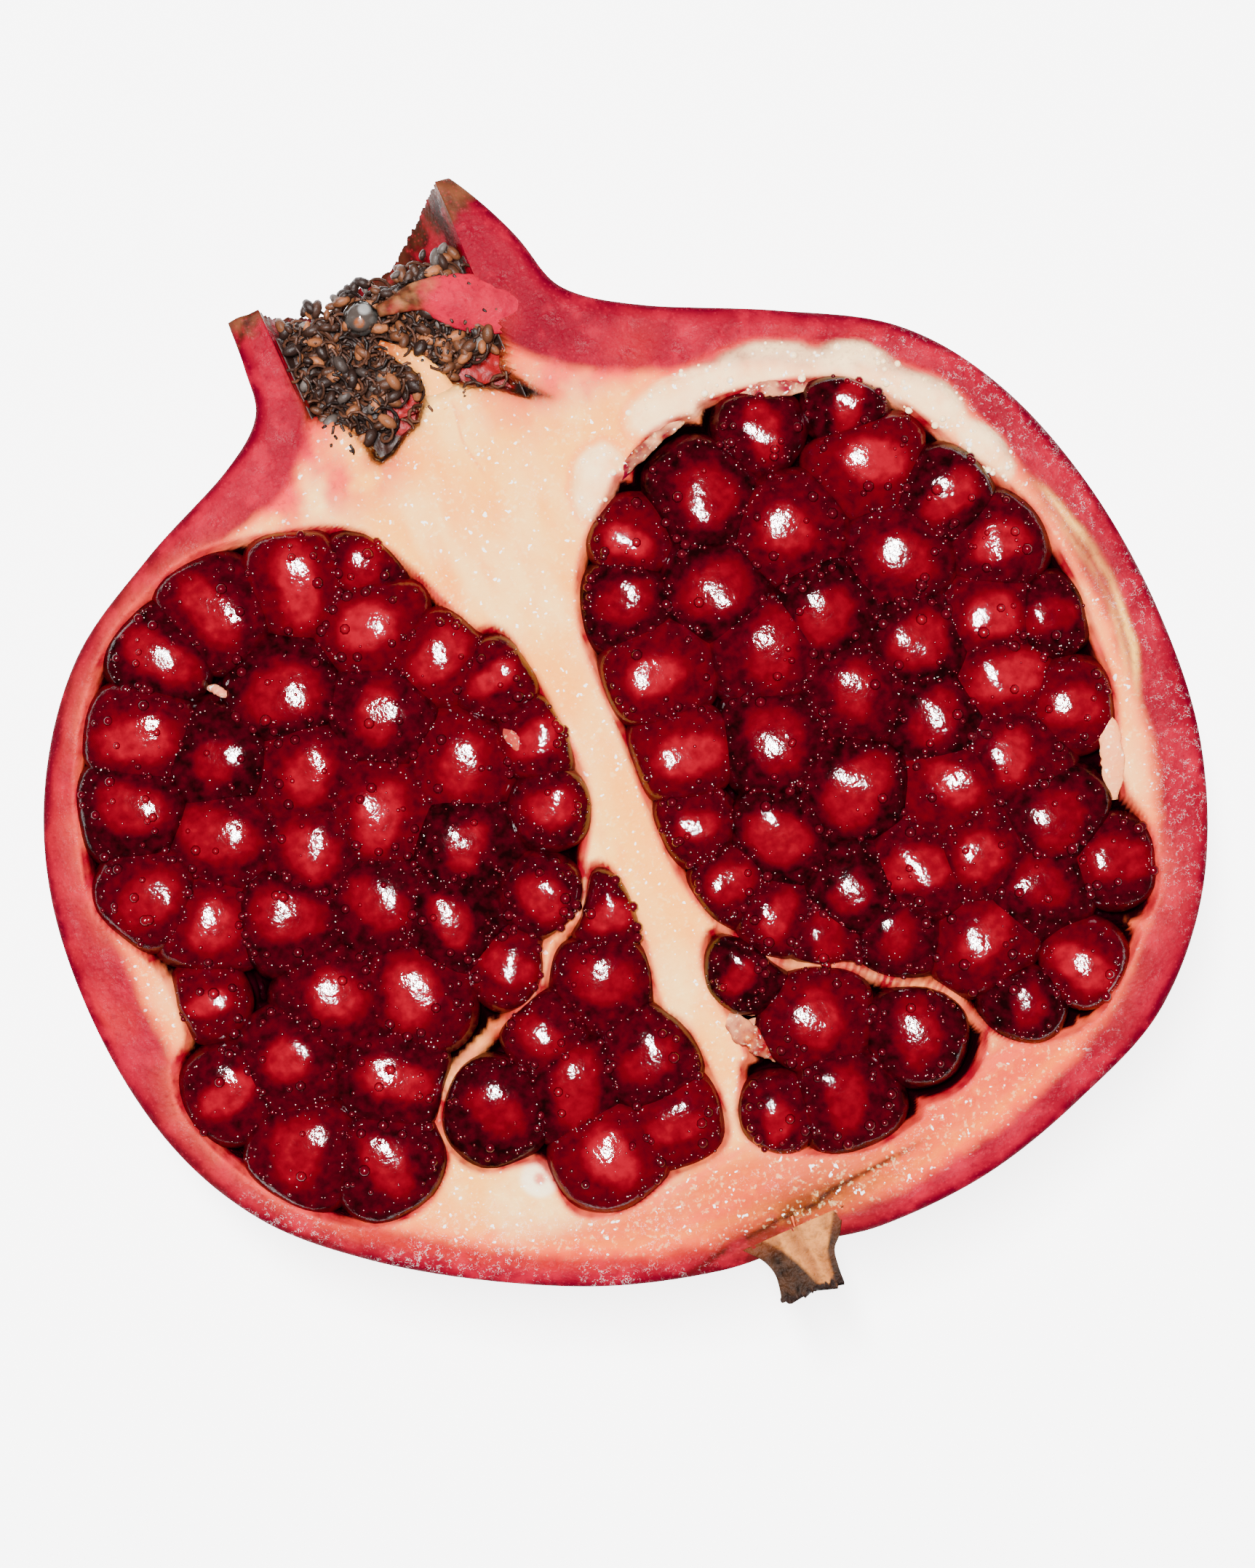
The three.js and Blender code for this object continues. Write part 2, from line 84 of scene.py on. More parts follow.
chambers = {
    "arils_left": {
        "outline": [
            (-25, 33.2), (-18.5, 32), (-13, 30), (-10.2, 26), (-8.2, 21), (-6.6, 17.8),
            (-4.6, 16.6), (-3.6, 11), (-3.4, 5), (-3.9, 0.5), (-6.2, -3.4), (-8.2, -6.9),
            (-12.4, -8.9), (-14.2, -11.8), (-20, -13.9), (-24.2, -15.7), (-26.9, -18.8),
            (-27.4, -22.4), (-31, -25), (-36, -24.2), (-41.4, -19), (-45.3, -11), (-45, -6.4),
            (-42.6, -4), (-42.2, 1), (-43.4, 4.6), (-45.3, 9), (-44.5, 14), (-42.8, 19),
            (-39.8, 24.4), (-35.5, 29.2), (-30, 32)],
        "rows": [
            [(-32.1, 27.1), (-26.3, 28.6), (-18.4, 28), (-12.6, 27.2)],
            [(-36.1, 21.4), (-23.3, 19.9), (-14, 22.1)],
            [(-39.8, 16.1), (-31.4, 17.2), (-24.7, 12.9), (-16.8, 14.9), (-9.9, 17)],
            [(-41.4, 8.6), (-33.3, 10.2), (-26.5, 6.4), (-20.1, 7.1), (-12, 8), (-6.3, 13.4)],
            [(-37.3, 4.3), (-30.8, 1.8), (-23.6, 0.2), (-14.2, 1.1), (-6.5, 1.4), (-5, 7.2)],
            [(-40.3, -1.7), (-30.4, -6.1), (-23.3, -8.6), (-17.9, -4.2), (-10.3, -5.1)],
            [(-42, -9.8), (-36.4, -9.5), (-28.6, -14.2), (-15.4, -9.7)],
            [(-37.8, -17), (-31.7, -20.7)]],
    },
    "arils_right": {
        "outline": [
            (12, 26), (16, 27.2), (21, 27.3), (27, 26), (31.5, 24.2), (35, 20), (38.5, 13.4),
            (41.2, 8), (42, 1), (41.6, -4.5), (41.2, -9), (39.6, -13.4), (38.6, -17),
            (39.2, -21), (38, -25.6), (35.4, -28.2), (31.8, -31.6), (28.2, -33.8), (23.4, -33.4),
            (20.4, -30.8), (18.4, -26), (14.6, -23.6), (11, -20.3), (6.6, -18.4), (3.4, -14.3),
            (2, -10), (1.5, -6), (1.8, 0), (2.1, 6), (2.4, 13), (3.6, 17.4), (6, 21), (9, 23.4)],
        "rows": [
            [(9.1, 20), (16.3, 20.5), (23, 23.9), (30.6, 22.9)],
            [(6.1, 14.9), (13.9, 13.3), (22.1, 14.9), (30.3, 17.8)],
            [(6.8, 8.4), (15.8, 6.1), (22.2, 6.8), (29.6, 9), (35.3, 12.4), (37.8, 6.7)],
            [(5.5, 1.1), (13.3, -1.1), (21.3, -0.4), (28.1, 1.6), (34.9, 1), (39.6, -0.8)],
            [(4, -4.8), (10.5, -9.3), (17.7, -7.3), (26.7, -4.9), (33.3, -4.2), (38, -8.7)],
            [(4.8, -11.1), (25.2, -11.3), (32.1, -10.4)],
            [(7.6, -15.1), (14.2, -16), (20.5, -16.6), (26.1, -17.2), (32.2, -16.6)],
            [(10.7, -18.3), (16.3, -21), (22.6, -24.2), (29.2, -21.9), (35.8, -22.4)],
            [(23.5, -30.8), (30, -29.3)]],
    },
    "arils_middle": {
        "outline": [
            (-5.3, -5), (-4.2, -7), (-4.4, -12), (-5.4, -18), (-4, -21), (-4, -28.4), (-5.6, -31),
            (-10, -31.2), (-14.4, -32.2), (-18.2, -31), (-18.9, -27.2), (-20, -25.2), (-24.4, -24.2),
            (-25.9, -21.6), (-25.4, -19), (-23, -16.7), (-19, -14.9), (-13.4, -12.9), (-10.6, -9.9),
            (-7.2, -8.2)],
        "rows": [
            [(-5.6, -8.6)],
            [(-14.8, -16), (-8.6, -14.1)],
            [(-21.6, -20.4), (-14.5, -21.2), (-7.6, -21.8)],
            [(-14, -28), (-7.3, -27.5)]],
    },
    "arils_lower_right": {
        "outline": [
            (2, -14.3), (3.6, -16.2), (5.8, -19.5), (10.2, -21.6), (13.8, -24.8), (17.4, -27.2),
            (19.4, -31.6), (21.2, -34.2), (18.6, -36), (13, -35.2), (7, -36), (2, -34.4),
            (-1.6, -32), (-2.2, -29.6), (-0.8, -27), (0.8, -23), (0.2, -18.2), (0.8, -15.4)],
        "rows": [
            [(3, -18.1)],
            [(7, -24.4), (14.2, -29)],
            [(0.4, -30.5), (6.2, -31.9)]],
    },
}


# Numbers and curves

def smoothStep(low, high, x):
    t = np.clip((x - low) / (high - low), 0, 1)
    return t * t * (3 - 2 * t)


# a value at a share of the way between two limits
def within(limits, share):
    return limits[0] + (limits[1] - limits[0]) * share


# vectors brought to length one
def unitOf(v):
    return v / np.linalg.norm(v, axis=-1, keepdims=True)


# a bell over a distance, and a fade outwards from an edge
def bell(x, width):
    return np.exp(-(x / width) ** 2)


def fade(x, width):
    return np.exp(-np.clip(x, 0, None) / width)


# the same draw from 0 to 1 for the same numbers
def drawn(i, j=0.0, seed=0.0):
    s = np.sin(i * 127.1 + j * 311.7 + seed * 74.7) * 43758.5453
    return s - np.floor(s)


# value noise from -1 to 1: draws at the corners of squares of a given size, blended smoothly
def ripple(x, y, size, seed=0.0):
    u, v = x / size, y / size
    i, j = np.floor(u), np.floor(v)
    a, b = u - i, v - j
    a, b = a * a * (3 - 2 * a), b * b * (3 - 2 * b)
    low = drawn(i, j, seed) * (1 - a) + drawn(i + 1, j, seed) * a
    high = drawn(i, j + 1, seed) * (1 - a) + drawn(i + 1, j + 1, seed) * a
    return 2 * (low * (1 - b) + high * b) - 1


# the same at three sizes, each half as large and half as strong
def grain(x, y, size, seed=0.0):
    return (ripple(x, y, size, seed) + 0.5 * ripple(x, y, size / 2, seed + 1)
            + 0.25 * ripple(x, y, size / 4, seed + 2)) / 1.75


# a share from 0 to 1 that comes in patches: the noise times a gain, over a middle
def patchy(x, y, size, seed, middle, gain):
    return np.clip(middle + gain * grain(x, y, size, seed), 0, 1)


# smooth curve through nodes at share t of its length: each stretch is a cubic whose slopes at its
# ends are half the step between the nodes before and after
def along(nodes, t, closed=False):
    nodes = np.asarray(nodes, float)
    if nodes.ndim == 1:
        nodes = nodes[:, None]
    if closed:
        k = np.vstack([nodes[-1:], nodes, nodes[:2]])
        stretches = len(nodes)
    else:
        k = np.vstack([2 * nodes[:1] - nodes[1:2], nodes, 2 * nodes[-1:] - nodes[-2:-1]])
        stretches = len(nodes) - 1
    place = np.clip(t, 0, 1) * stretches
    i = np.minimum(place.astype(int), stretches - 1)
    w = (place - i)[..., None]
    a, b, c, d = k[i], k[i + 1], k[i + 2], k[i + 3]
    return 0.5 * (2 * b + (c - a) * w + (2 * a - 5 * b + 4 * c - d) * w ** 2
                  + (3 * b - a - 3 * c + d) * w ** 3)


# distance to a closed outline, negative inside it, and the nearest point of the outline
def outlineDistance(x, y, outline):
    a = np.asarray(outline, float)
    b = np.roll(a, -1, axis=0)
    best = np.full(x.shape, 1e9)
    nearX, nearY = x.copy(), y.copy()
    inside = np.zeros(x.shape, bool)
    for (ax, ay), (bx, by) in zip(a, b):
        ex, ey = bx - ax, by - ay
        t = np.clip(((x - ax) * ex + (y - ay) * ey) / (ex * ex + ey * ey + 1e-12), 0, 1)
        px, py = ax + t * ex, ay + t * ey
        d = np.hypot(x - px, y - py)
        closer = d < best
        best = np.where(closer, d, best)
        nearX, nearY = np.where(closer, px, nearX), np.where(closer, py, nearY)
        if ey != 0:
            inside ^= ((ay > y) != (by > y)) & (x < ax + (y - ay) * ex / ey)
    return np.where(inside, -best, best), nearX, nearY


# a closed outline with more points on its smooth curve
def smoothOutline(outline, steps=6):
    t = np.arange(len(outline) * steps) / (len(outline) * steps)
    return along(outline, t, closed=True)


# Meshes

# the linear colour of three values from 0 to 255
def colour(red, green, blue):
    c = np.array([red, green, blue]) / 255.0
    return np.where(c <= 0.04045, c / 12.92, ((c + 0.055) / 1.055) ** 2.4)


# from one colour to another by a share
def toward(a, b, share):
    return a + (b - a) * np.clip(share, 0, 1)[..., None]


# colours laid one over the other, each by its own share
def coated(c, coats):
    for tint, share in coats:
        c = toward(c, colour(*tint), share)
    return c


# one mesh object from points in millimetres, groups of faces with any corner counts, and values per
# point; the inner groups are shaded flat, so that they leave the light on the visible ones alone
def addPiece(name, points, faces, finish, layers=None, replaced=(), inner=()):
    mesh = bpy.data.meshes.new(name)
    lifted = np.asarray(points, float) + np.array([0, 0, cutHeight])
    mesh.vertices.add(len(lifted))
    mesh.vertices.foreach_set("co", (lifted * mm).astype(np.float32).ravel())
    corners = np.concatenate([f.ravel() for f in faces]).astype(np.int32)
    sizes = np.concatenate([np.full(len(f), f.shape[1]) for f in faces])
    starts = np.concatenate([[0], np.cumsum(sizes)[:-1]]).astype(np.int32)
    mesh.loops.add(len(corners))
    mesh.loops.foreach_set("vertex_index", corners)
    mesh.polygons.add(len(sizes))
    mesh.polygons.foreach_set("loop_start", starts)
    smooth = np.concatenate([np.full(len(f), k not in inner) for k, f in enumerate(faces)])
    mesh.polygons.foreach_set("use_smooth", smooth)
    mesh.update(calc_edges=True)
    if inner:
        edgeOf = np.zeros(len(corners), np.int32)
        mesh.loops.foreach_get("edge_index", edgeOf)
        outward = np.repeat(smooth, sizes)
        sharp = np.zeros(len(mesh.edges), bool)
        sharp[edgeOf[outward]] = True
        hidden = np.zeros(len(mesh.edges), bool)
        hidden[edgeOf[~outward]] = True
        mesh.attributes.new("sharp_edge", "BOOLEAN", "EDGE").data.foreach_set("value", sharp & hidden)
    for key, values in (layers or {}).items():
        values = np.asarray(values, np.float32)
        if values.ndim == 2:
            layer = mesh.attributes.new(key, "FLOAT_COLOR", "POINT")
            wide = np.concatenate([values, np.ones((len(values), 1), np.float32)], axis=1)
            layer.data.foreach_set("color", wide.ravel())
        else:
            mesh.attributes.new(key, "FLOAT", "POINT").data.foreach_set("value", values)
    mesh.validate()
    mesh.materials.append(finish)
    piece = bpy.data.objects.new(name, mesh)
    bpy.context.scene.collection.objects.link(piece)
    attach(piece, "root")
    if replaced:
        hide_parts(*replaced)


# several meshes put together as one
class Heap:
    def __init__(self):
        self.points, self.faces, self.layers, self.count = [], [], {}, 0

    def add(self, points, faces, **layers):
        points = np.asarray(points, float).reshape(-1, 3)
        self.points.append(points)
        self.faces += [f + self.count for f in faces]
        for key, values in layers.items():
            self.layers.setdefault(key, []).append(np.asarray(values, float))
        self.count += len(points)

    def piece(self, name, finish, slot, replaced=()):
        layers = {key: np.concatenate(values) for key, values in self.layers.items()}
        addPiece(name, np.concatenate(self.points), self.faces, finish, layers, replaced)


# Shader maths as Python expressions

class Value:
    def __init__(self, paint, socket):
        self.paint, self.socket = paint, socket

    def maths(self, operation, *others):
        settings = {"operation": operation}
        return self.paint.node("ShaderNodeMath", settings, dict(enumerate((self, *others))))

    def __add__(self, other):
        return self.maths("ADD", other)

    def __mul__(self, other):
        return self.maths("MULTIPLY", other)

    def __sub__(self, other):
        return self.maths("SUBTRACT", other)

    def __rsub__(self, other):
        return self * -1 + other

    __radd__, __rmul__ = __add__, __mul__


# a material in the making: its nodes, and the shade that its coats have reached
class Paint:
    def __init__(self, name):
        self.material = bpy.data.materials.new(name)
        self.material.use_nodes = True
        self.tree = self.material.node_tree
        self.shader = self.tree.nodes["Principled BSDF"]

    # any node: its settings first, then the values or links of its sockets
    def node(self, kind, settings=None, inputs=None, output=0):
        made = self.tree.nodes.new(kind)
        for key, setting in (settings or {}).items():
            if key == "stops":
                ramp = made.color_ramp
                while len(ramp.elements) < len(setting):
                    ramp.elements.new(0.5)
                for element, (place, tint) in zip(ramp.elements, setting):
                    element.position = place
                    element.color = (*colour(*tint), 1)
            else:
                setattr(made, key, setting)
        for key, given in (inputs or {}).items():
            self.give(made.inputs[key], given)
        return Value(self, made.outputs[output])

    def give(self, socket, given):
        if isinstance(given, Value):
            self.tree.links.new(given.socket, socket)
        else:
            socket.default_value = given

    def attribute(self, name, output=2):
        return self.node("ShaderNodeAttribute", {"attribute_name": name}, None, output)

    def noise(self, size, detail=3.0):
        place = self.node("ShaderNodeTexCoord", None, None, 3)
        inputs = {"Vector": place, "Scale": 1 / (size * mm), "Detail": detail}
        return self.node("ShaderNodeTexNoise", None, inputs)

    # dots round the middles of cells, from a share of the cell's size out to a larger one
    def dots(self, size, inner, outer):
        place = self.node("ShaderNodeTexCoord", None, None, 3)
        cells = self.node("ShaderNodeTexVoronoi", None, {"Vector": place, "Scale": 1 / (size * mm)})
        return 1 - self.step(cells, inner, outer)

    def step(self, value, low, high):
        inputs = {0: value, 1: low, 2: high, 3: 0.0, 4: 1.0}
        return self.node("ShaderNodeMapRange", {"interpolation_type": "SMOOTHSTEP"}, inputs)

    # patches of noise: size in mm, detail, and the levels between which they come in
    def patches(self, size, detail, low, high):
        return self.step(self.noise(size, detail), low, high)

    # lays a colour over the shade so far
    def coat(self, share, tint):
        inputs = {0: share, 6: self.shade, 7: (*colour(*tint), 1)}
        self.shade = self.node("ShaderNodeMix", {"data_type": "RGBA"}, inputs, 2)

    def bump(self, height, strength, distance):
        inputs = {"Strength": strength, "Distance": distance * mm, "Height": height}
        return self.node("ShaderNodeBump", None, inputs)

    def done(self, **sockets):
        for key, given in {"baseColor": self.shade, **sockets}.items():
            label = "".join(" " + c if c.isupper() else c for c in key).title()
            self.give(self.shader.inputs[label.replace("Ior", "IOR")], given)
        return self.material


# Finishes

fleshLook = {
    # size in mm, detail, and the levels between which each pattern comes in
    "patches": {
        "mottle": (9, 4, 0.4, 0.7), "dotted": (4, 3, 0.42, 0.62), "crimson": (2.6, 3, 0.52, 0.7),
        "orange": (1.1, 4, 0.5, 0.75), "glintFleck": (0.5, 1, 0.7, 0.74), "glint": (0.6, 3, 0.48, 0.6),
        "wetGlintRed": (6, 3, 0.36, 0.56), "wetGlintPale": (5, 3, 0.54, 0.64), "smooth": (1.7, 3, 0.5, 0.65)},
    "skinDots": (1.5, 0.1, 0.24), "pores": (0.42, 0.14, 0.34), "glintWebSize": 0.24,
}


# one flesh for rind and pith, so that nothing shows where the two meet
def fleshFinish(name):
    p = Paint(name)
    p.shade = p.attribute("paint", 0)
    skin, bed, red, wet = (p.attribute(key) for key in ("skin", "bed", "red", "wet"))
    cut, pale, dry = 1 - skin, 1 - red, 1 - bed
    fine = p.noise(0.4)
    some = {key: p.patches(*look) for key, look in fleshLook["patches"].items()}
    glintWeb = (p.noise(fleshLook["glintWebSize"], 2) - 0.5).maths("ABSOLUTE")
    wet = wet * some["wetGlintRed"] + some["wetGlintPale"] * pale * 0.4
    p.coat(some["mottle"] * 0.35 * skin, (150, 30, 14))
    p.coat(p.dots(*fleshLook["skinDots"]) * some["dotted"] * skin * 0.4, (170, 84, 40))
    p.coat(p.dots(*fleshLook["pores"]) * cut * red * 0.1, (204, 30, 60))
    p.coat(p.step(fine, 0.5, 0.75) * 0.35 * red, (84, 0, 18))
    p.coat(some["crimson"] * 0.3 * red * cut, (184, 0, 44))
    p.coat(some["orange"] * 0.25 * pale * dry, (250, 134, 40))
    p.coat(p.step(fine, 0.56, 0.7) * 0.3 * pale * dry, (252, 226, 160))
    # painted glints: a white net where the cut is wet, and white flecks on the pale flesh, both in place of
    # highlights
    p.coat((1 - p.step(glintWeb, 0.006, 0.026)) * some["glint"] * wet * cut * dry * 0.6, (254, 244, 244))
    p.coat(some["glintFleck"] * pale * dry * 0.9, (254, 254, 250))
    return p.done(roughness=0.42 - bed * 0.15 - some["smooth"] * 0.16, ior=1.4, specularIorLevel=0.02,
                  normal=p.bump(p.noise(0.6) + fine * 0.5, 0.6, 0.2))


# from the dark edge of an aril, painted shade, to its glowing middle, partly the seed seen through the flesh
# and partly painted glow
arilStops = [(0.0, (14, 0, 1)), (0.14, (40, 0, 5)), (0.36, (66, 0, 9)),
             (0.52, (76, 0, 10)), (0.76, (97, 0, 14)), (1.0, (126, 0, 22))]


def arilFinish():
    p = Paint("aril")
    core = p.attribute("core") + (p.noise(0.9, 4) - 0.5) * 0.7 + (p.attribute("tone") - 0.5) * 0.26
    p.shade = p.node("ShaderNodeValToRGB", {"stops": arilStops}, {"Fac": core})
    height = p.noise(1.7, 2) * 0.9 + p.noise(0.3) * 0.22
    return p.done(roughness=0.04 + p.noise(0.6) * 0.06, ior=1.4, specularIorLevel=0.46,
                  normal=p.bump(height, 0.5, 0.2))


def dropFinish():
    p = Paint("juiceDrop")
    p.shade = p.node("ShaderNodeValToRGB", {"stops": arilStops}, {"Fac": p.attribute("core")})
    return p.done(roughness=0.04, ior=1.5, specularIorLevel=0.8)


# a pale finish with lighter patches: for the painted glint specks on the arils, and for the pale beads on the
# flesh
def glintSpeckAndBeadFinish(name, tint):
    p = Paint(name)
    p.shade = (*colour(*tint), 1)
    p.coat(p.patches(0.8, 3, 0.45, 0.6), (252, 240, 226))
    return p.done(roughness=0.15, ior=1.4)


# dried droplets: grey glass with a dark edge, which is painted shade
def dropletFinish():
    p = Paint("droplet")
    p.shade = p.attribute("paint", 0)
    cloud = p.patches(0.7, 3, 0.4, 0.7)
    p.coat(cloud * 0.3, (100, 96, 92))
    return p.done(roughness=0.06 + cloud * 0.3, ior=1.45, specularIorLevel=0.6)


def stamenFinish():
    p = Paint("stamen")
    p.shade = p.attribute("paint", 0)
    fine = p.noise(0.6)
    p.coat(p.step(fine, 0.45, 0.75) * 0.5, (30, 14, 8))
    return p.done(roughness=0.42 + fine * 0.25, normal=p.bump(fine, 0.6, 0.25), specularIorLevel=0.3)


def stemFinish():
    p = Paint("stem")
    p.shade = p.attribute("paint", 0)
    fine = p.noise(0.5, 4)
    p.coat(p.step(fine, 0.45, 0.75) * 0.4, (60, 34, 20))
    return p.done(roughness=0.55, normal=p.bump(fine, 0.8, 0.4), specularIorLevel=0.1)


rind, pith, aril = fleshFinish("rind"), fleshFinish("pith"), arilFinish()
juiceDrop, droplet = dropFinish(), dropletFinish()
foam, fleshBead = glintSpeckAndBeadFinish("foam", (200, 80, 92)), glintSpeckAndBeadFinish("fleshBead", (252, 214, 160))
stamen, stem = stamenFinish(), stemFinish()
print("finishes made")


# The arils: where each one is and how far it reaches

arilLook = {
    "radius": 5.8, "rise": 1.7, "shoulder": 2.3, "root": 3.4, "highest": 1.75,
    "overlap": 1.1, "tuck": 0.75, "roundness": 11, "blunt": 0.88,
    "far": 60,              # the reach where nothing is in the way
    "near": 15,             # neighbours are looked for this far away
    "byWall": 5,            # closer to the wall than this they point inwards
    "lean": 0.6, "tip": 0.11, "ridge": 1.1, "uneven": 0.8,
    "slim": 1.05, "slimByWall": 1.3, "spread": (0.66, 0.98), "glow": (0.55, 1.0),
    "sides": 48, "rings": 24,
    "beads": 40, "beadSize": (0.1, 0.56),
    "seamSpecks": 15, "faceSpecks": 5, "speckSize": (0.035, 0.08),
}


# how far an aril reaches in each direction: a smooth minimum of its own radius, a little more than
# half way to its neighbours, and the chamber's wall
def arilReach(one, angle):
    far, towardsLeast, least = arilLook["far"], 0.4, 0.6
    cx, cy = np.cos(angle)[..., None], np.sin(angle)[..., None]
    away = one["neighbours"]
    towards = away[:, 0] * cx + away[:, 1] * cy
    halves = (away ** 2).sum(1) / 2 / np.maximum(towards, towardsLeast) + arilLook["overlap"]
    halves = np.where(towards > towardsLeast, halves, far)
    a = one["wall"]
    e, m = np.roll(a, -1, axis=0) - a, a - one["middle"]
    cross = cx * e[:, 1] - cy * e[:, 0]
    cross = np.where(abs(cross) < 1e-9, 1e-9, cross)
    t = (m[:, 0] * e[:, 1] - m[:, 1] * e[:, 0]) / cross
    s = (m[:, 0] * cy - m[:, 1] * cx) / cross
    walls = np.where((t > 0) & (s >= 0) & (s <= 1), t, far).min(-1, keepdims=True) + arilLook["tuck"]
    own = np.full(walls.shape, one["own"])
    power = arilLook["roundness"]
    every = np.maximum(np.concatenate([halves, walls, own], -1), least)
    return (every ** -power).sum(-1) ** (-1 / power)


def heading(turn):
    return np.array([math.cos(turn), math.sin(turn)])


# a dictionary for each aril of a chamber: what is round it, how large it is, and its seeded draws
def arilList(chamber, seed):
    wall = smoothOutline(chamber["outline"], 3)
    middles = np.array([m for row in chamber["rows"] for m in row], float)
    found = []
    for k, middle in enumerate(middles):
        draw = lambda n: drawn(k, seed, n)
        away = middles - middle
        far = np.hypot(*away.T)
        inside, nearX, nearY = (float(v[0]) for v in outlineDistance(middle[:1], middle[1:], wall))
        byWall = -inside < arilLook["byWall"]
        turn = math.atan2(nearY - middle[1], nearX - middle[0]) if byWall else math.pi * draw(8)
        one = {
            "middle": middle, "wall": wall, "seed": float(seed + k), "tone": draw(6),
            "neighbours": away[(far > 0.1) & (far < arilLook["near"])],
            "own": min(max(1.42 * -inside, 4.0), arilLook["radius"]),
            "lean": arilLook["lean"] * draw(5) * heading(2 * np.pi * draw(4)),
            "along": heading(turn),
            "slim": arilLook["slimByWall" if byWall else "slim"] + 0.4 * draw(7),
            "spread": within(arilLook["spread"], draw(9)),
            "glow": within(arilLook["glow"], draw(10) ** 0.7),
            "tip": arilLook["tip"] * draw(12) ** 0.5 * heading(2 * np.pi * draw(11)),
            "ridge": arilLook["ridge"] * draw(14) * heading(2 * np.pi * draw(13))}
        mean = arilReach(one, np.linspace(0, 2 * np.pi, 24, endpoint=False)).mean()
        top = arilLook["rise"] * (0.3 + 0.7 * mean / 4.5) + arilLook["uneven"] * (draw(3) - 0.5)
        one.update(mean=mean, size=0.55 + 0.45 * mean / 4.4, top=min(top, arilLook["highest"]))
        found.append(one)
    return found


arils = {name: arilList(chamber, 100 * n) for n, (name, chamber) in enumerate(chambers.items())}
allArils = [one for found in arils.values() for one in found]


# The body: skin, cut face, cup

outlineNodes = body["left"][::-1] + [body["pole"]] + body["right"]
stationCount = len(body["left"])


# where station q meets the outside on one side, moved inwards square to the outline
def sidePoints(q, side, inset=0.0):
    u = (stationCount + side * q) / (2 * stationCount)
    nearby = 1e-4
    slope = unitOf(along(outlineNodes, u + nearby) - along(outlineNodes, u - nearby))
    inward = np.stack([-slope[..., 1], slope[..., 0]], -1)
    return along(outlineNodes, u) + inward * np.asarray(inset)[..., None]


# stations at even steps along the two sides taken together, with one of them on the seam
def rowStations():
    q = np.linspace(0.02, stationCount, 4000)
    steps = [np.hypot(*np.diff(sidePoints(q, side), axis=0).T) for side in (-1, 1)]
    way = np.concatenate([[0], np.cumsum(steps[0] + steps[1])])
    rows = np.interp(np.linspace(0, way[-1], body["rows"]), way, q)
    seam = int(np.argmin(abs(rows - body["seam"])))
    rows[seam] = body["seam"]
    return rows, seam


q, seamRow = rowStations()
left, right = sidePoints(q, -1), sidePoints(q, 1)
skinDepth = body["skin"] + (body["neckSkin"] - body["skin"]) * smoothStep(10, body["seam"], q)
halfDepth = 0.5 * body["roundness"] * np.hypot(*(right - left).T)
crownShare = smoothStep(body["rimStart"], stationCount, q)
faceShare = np.concatenate([
    np.linspace(1, 0.985, body["bandColumns"] + 1)[:-1],
    np.linspace(0.985, 0.015, body["middleColumns"] + 1),
    np.linspace(0.015, 0, body["bandColumns"] + 1)[1:]])
skinShare = faceShare[::2]


# how far the crown's rim stands out, column by column, with a torn edge
def rimReach(share):
    torn = 0.5 * grain(share * 40, share * 0, 1.6, 5) + 0.25 * grain(share * 90, share * 0, 1.1, 6)
    return crownShare[:, None] * (along(body["rimStretch"], share)[:, 0] + torn)


# cut face: straight rows between the two sides, with the red band in columns of its own
def faceGrid():
    crown = smoothStep(body["seam"] - 0.2, body["seam"] + 0.9, q)[:, None]
    inner = []
    for side, edge in ((-1, left), (1, right)):
        wallX = np.full(len(q), cup["middle"] + side * cup["radius"])
        wall = np.stack([wallX, edge[:, 1]], -1)
        inner.append(sidePoints(q, side, skinDepth) * (1 - crown) + wall * crown)
    band = np.tile(np.linspace(0, 1, body["bandColumns"] + 1), (len(q), 1))
    even = np.linspace(0, 1, body["middleColumns"] + 1)
    bent = (1 - np.cos(np.pi * even)) / 2
    bend = smoothStep(12.6, 13.6, q)[:, None]
    between = lambda a, b, share: a[:, None] + (b - a)[:, None] * share[..., None]
    grid = np.concatenate([between(left, inner[0], band[:, :-1]),
                           between(inner[0], inner[1], even * (1 - bend) + bent * bend),
                           between(inner[1], right, band[:, 1:])], axis=1)
    return grid[..., 0], grid[..., 1]


faceLook = {
    "lipDrop": 0.6, "lipWidth": 0.8, "hidden": 0.6, "bed": 6.0, "wall": 0.9, "dig": 0.75,
    # pale lumps of flesh along the upper right wall: middle, half length, half width, turn in degrees
    "lumps": [(8.6, 25.4, 3.4, 2.3, 58), (17.4, 29.0, 4.6, 2.2, 6), (25.6, 28.3, 4.8, 2.5, -16),
              (32.6, 25.2, 3.9, 2.3, -34), (37.2, 20.2, 3.6, 2.1, -55), (40.1, 14.4, 3.2, 1.5, -70)],
    "lumpEdge": 1.12, "lumpBlend": 9,
    "lumpBeads": 26, "lumpBeadSize": (0.12, 0.38),
}

faceX, faceY = faceGrid()


# distance to the chambers' edge: outside every outline, or past the round end of the nearest aril
def chamberField():
    field = np.full(faceX.shape, 1e9)
    for name, chamber in chambers.items():
        fine = smoothOutline(chamber["outline"], 4)
        near = np.full(faceX.shape, 1e9)
        for one in arils[name]:
            dx, dy = faceX - one["middle"][0], faceY - one["middle"][1]
            close = (abs(dx) < 8) & (abs(dy) < 8)
            gap = np.hypot(dx[close], dy[close]) - arilReach(one, np.arctan2(dy[close], dx[close]))
            near[close] = np.minimum(near[close], gap - faceLook["dig"])
        outside = outlineDistance(faceX, faceY, fine)[0]
        field = np.minimum(field, np.maximum(outside, np.minimum(near, 1.2)))
    return field


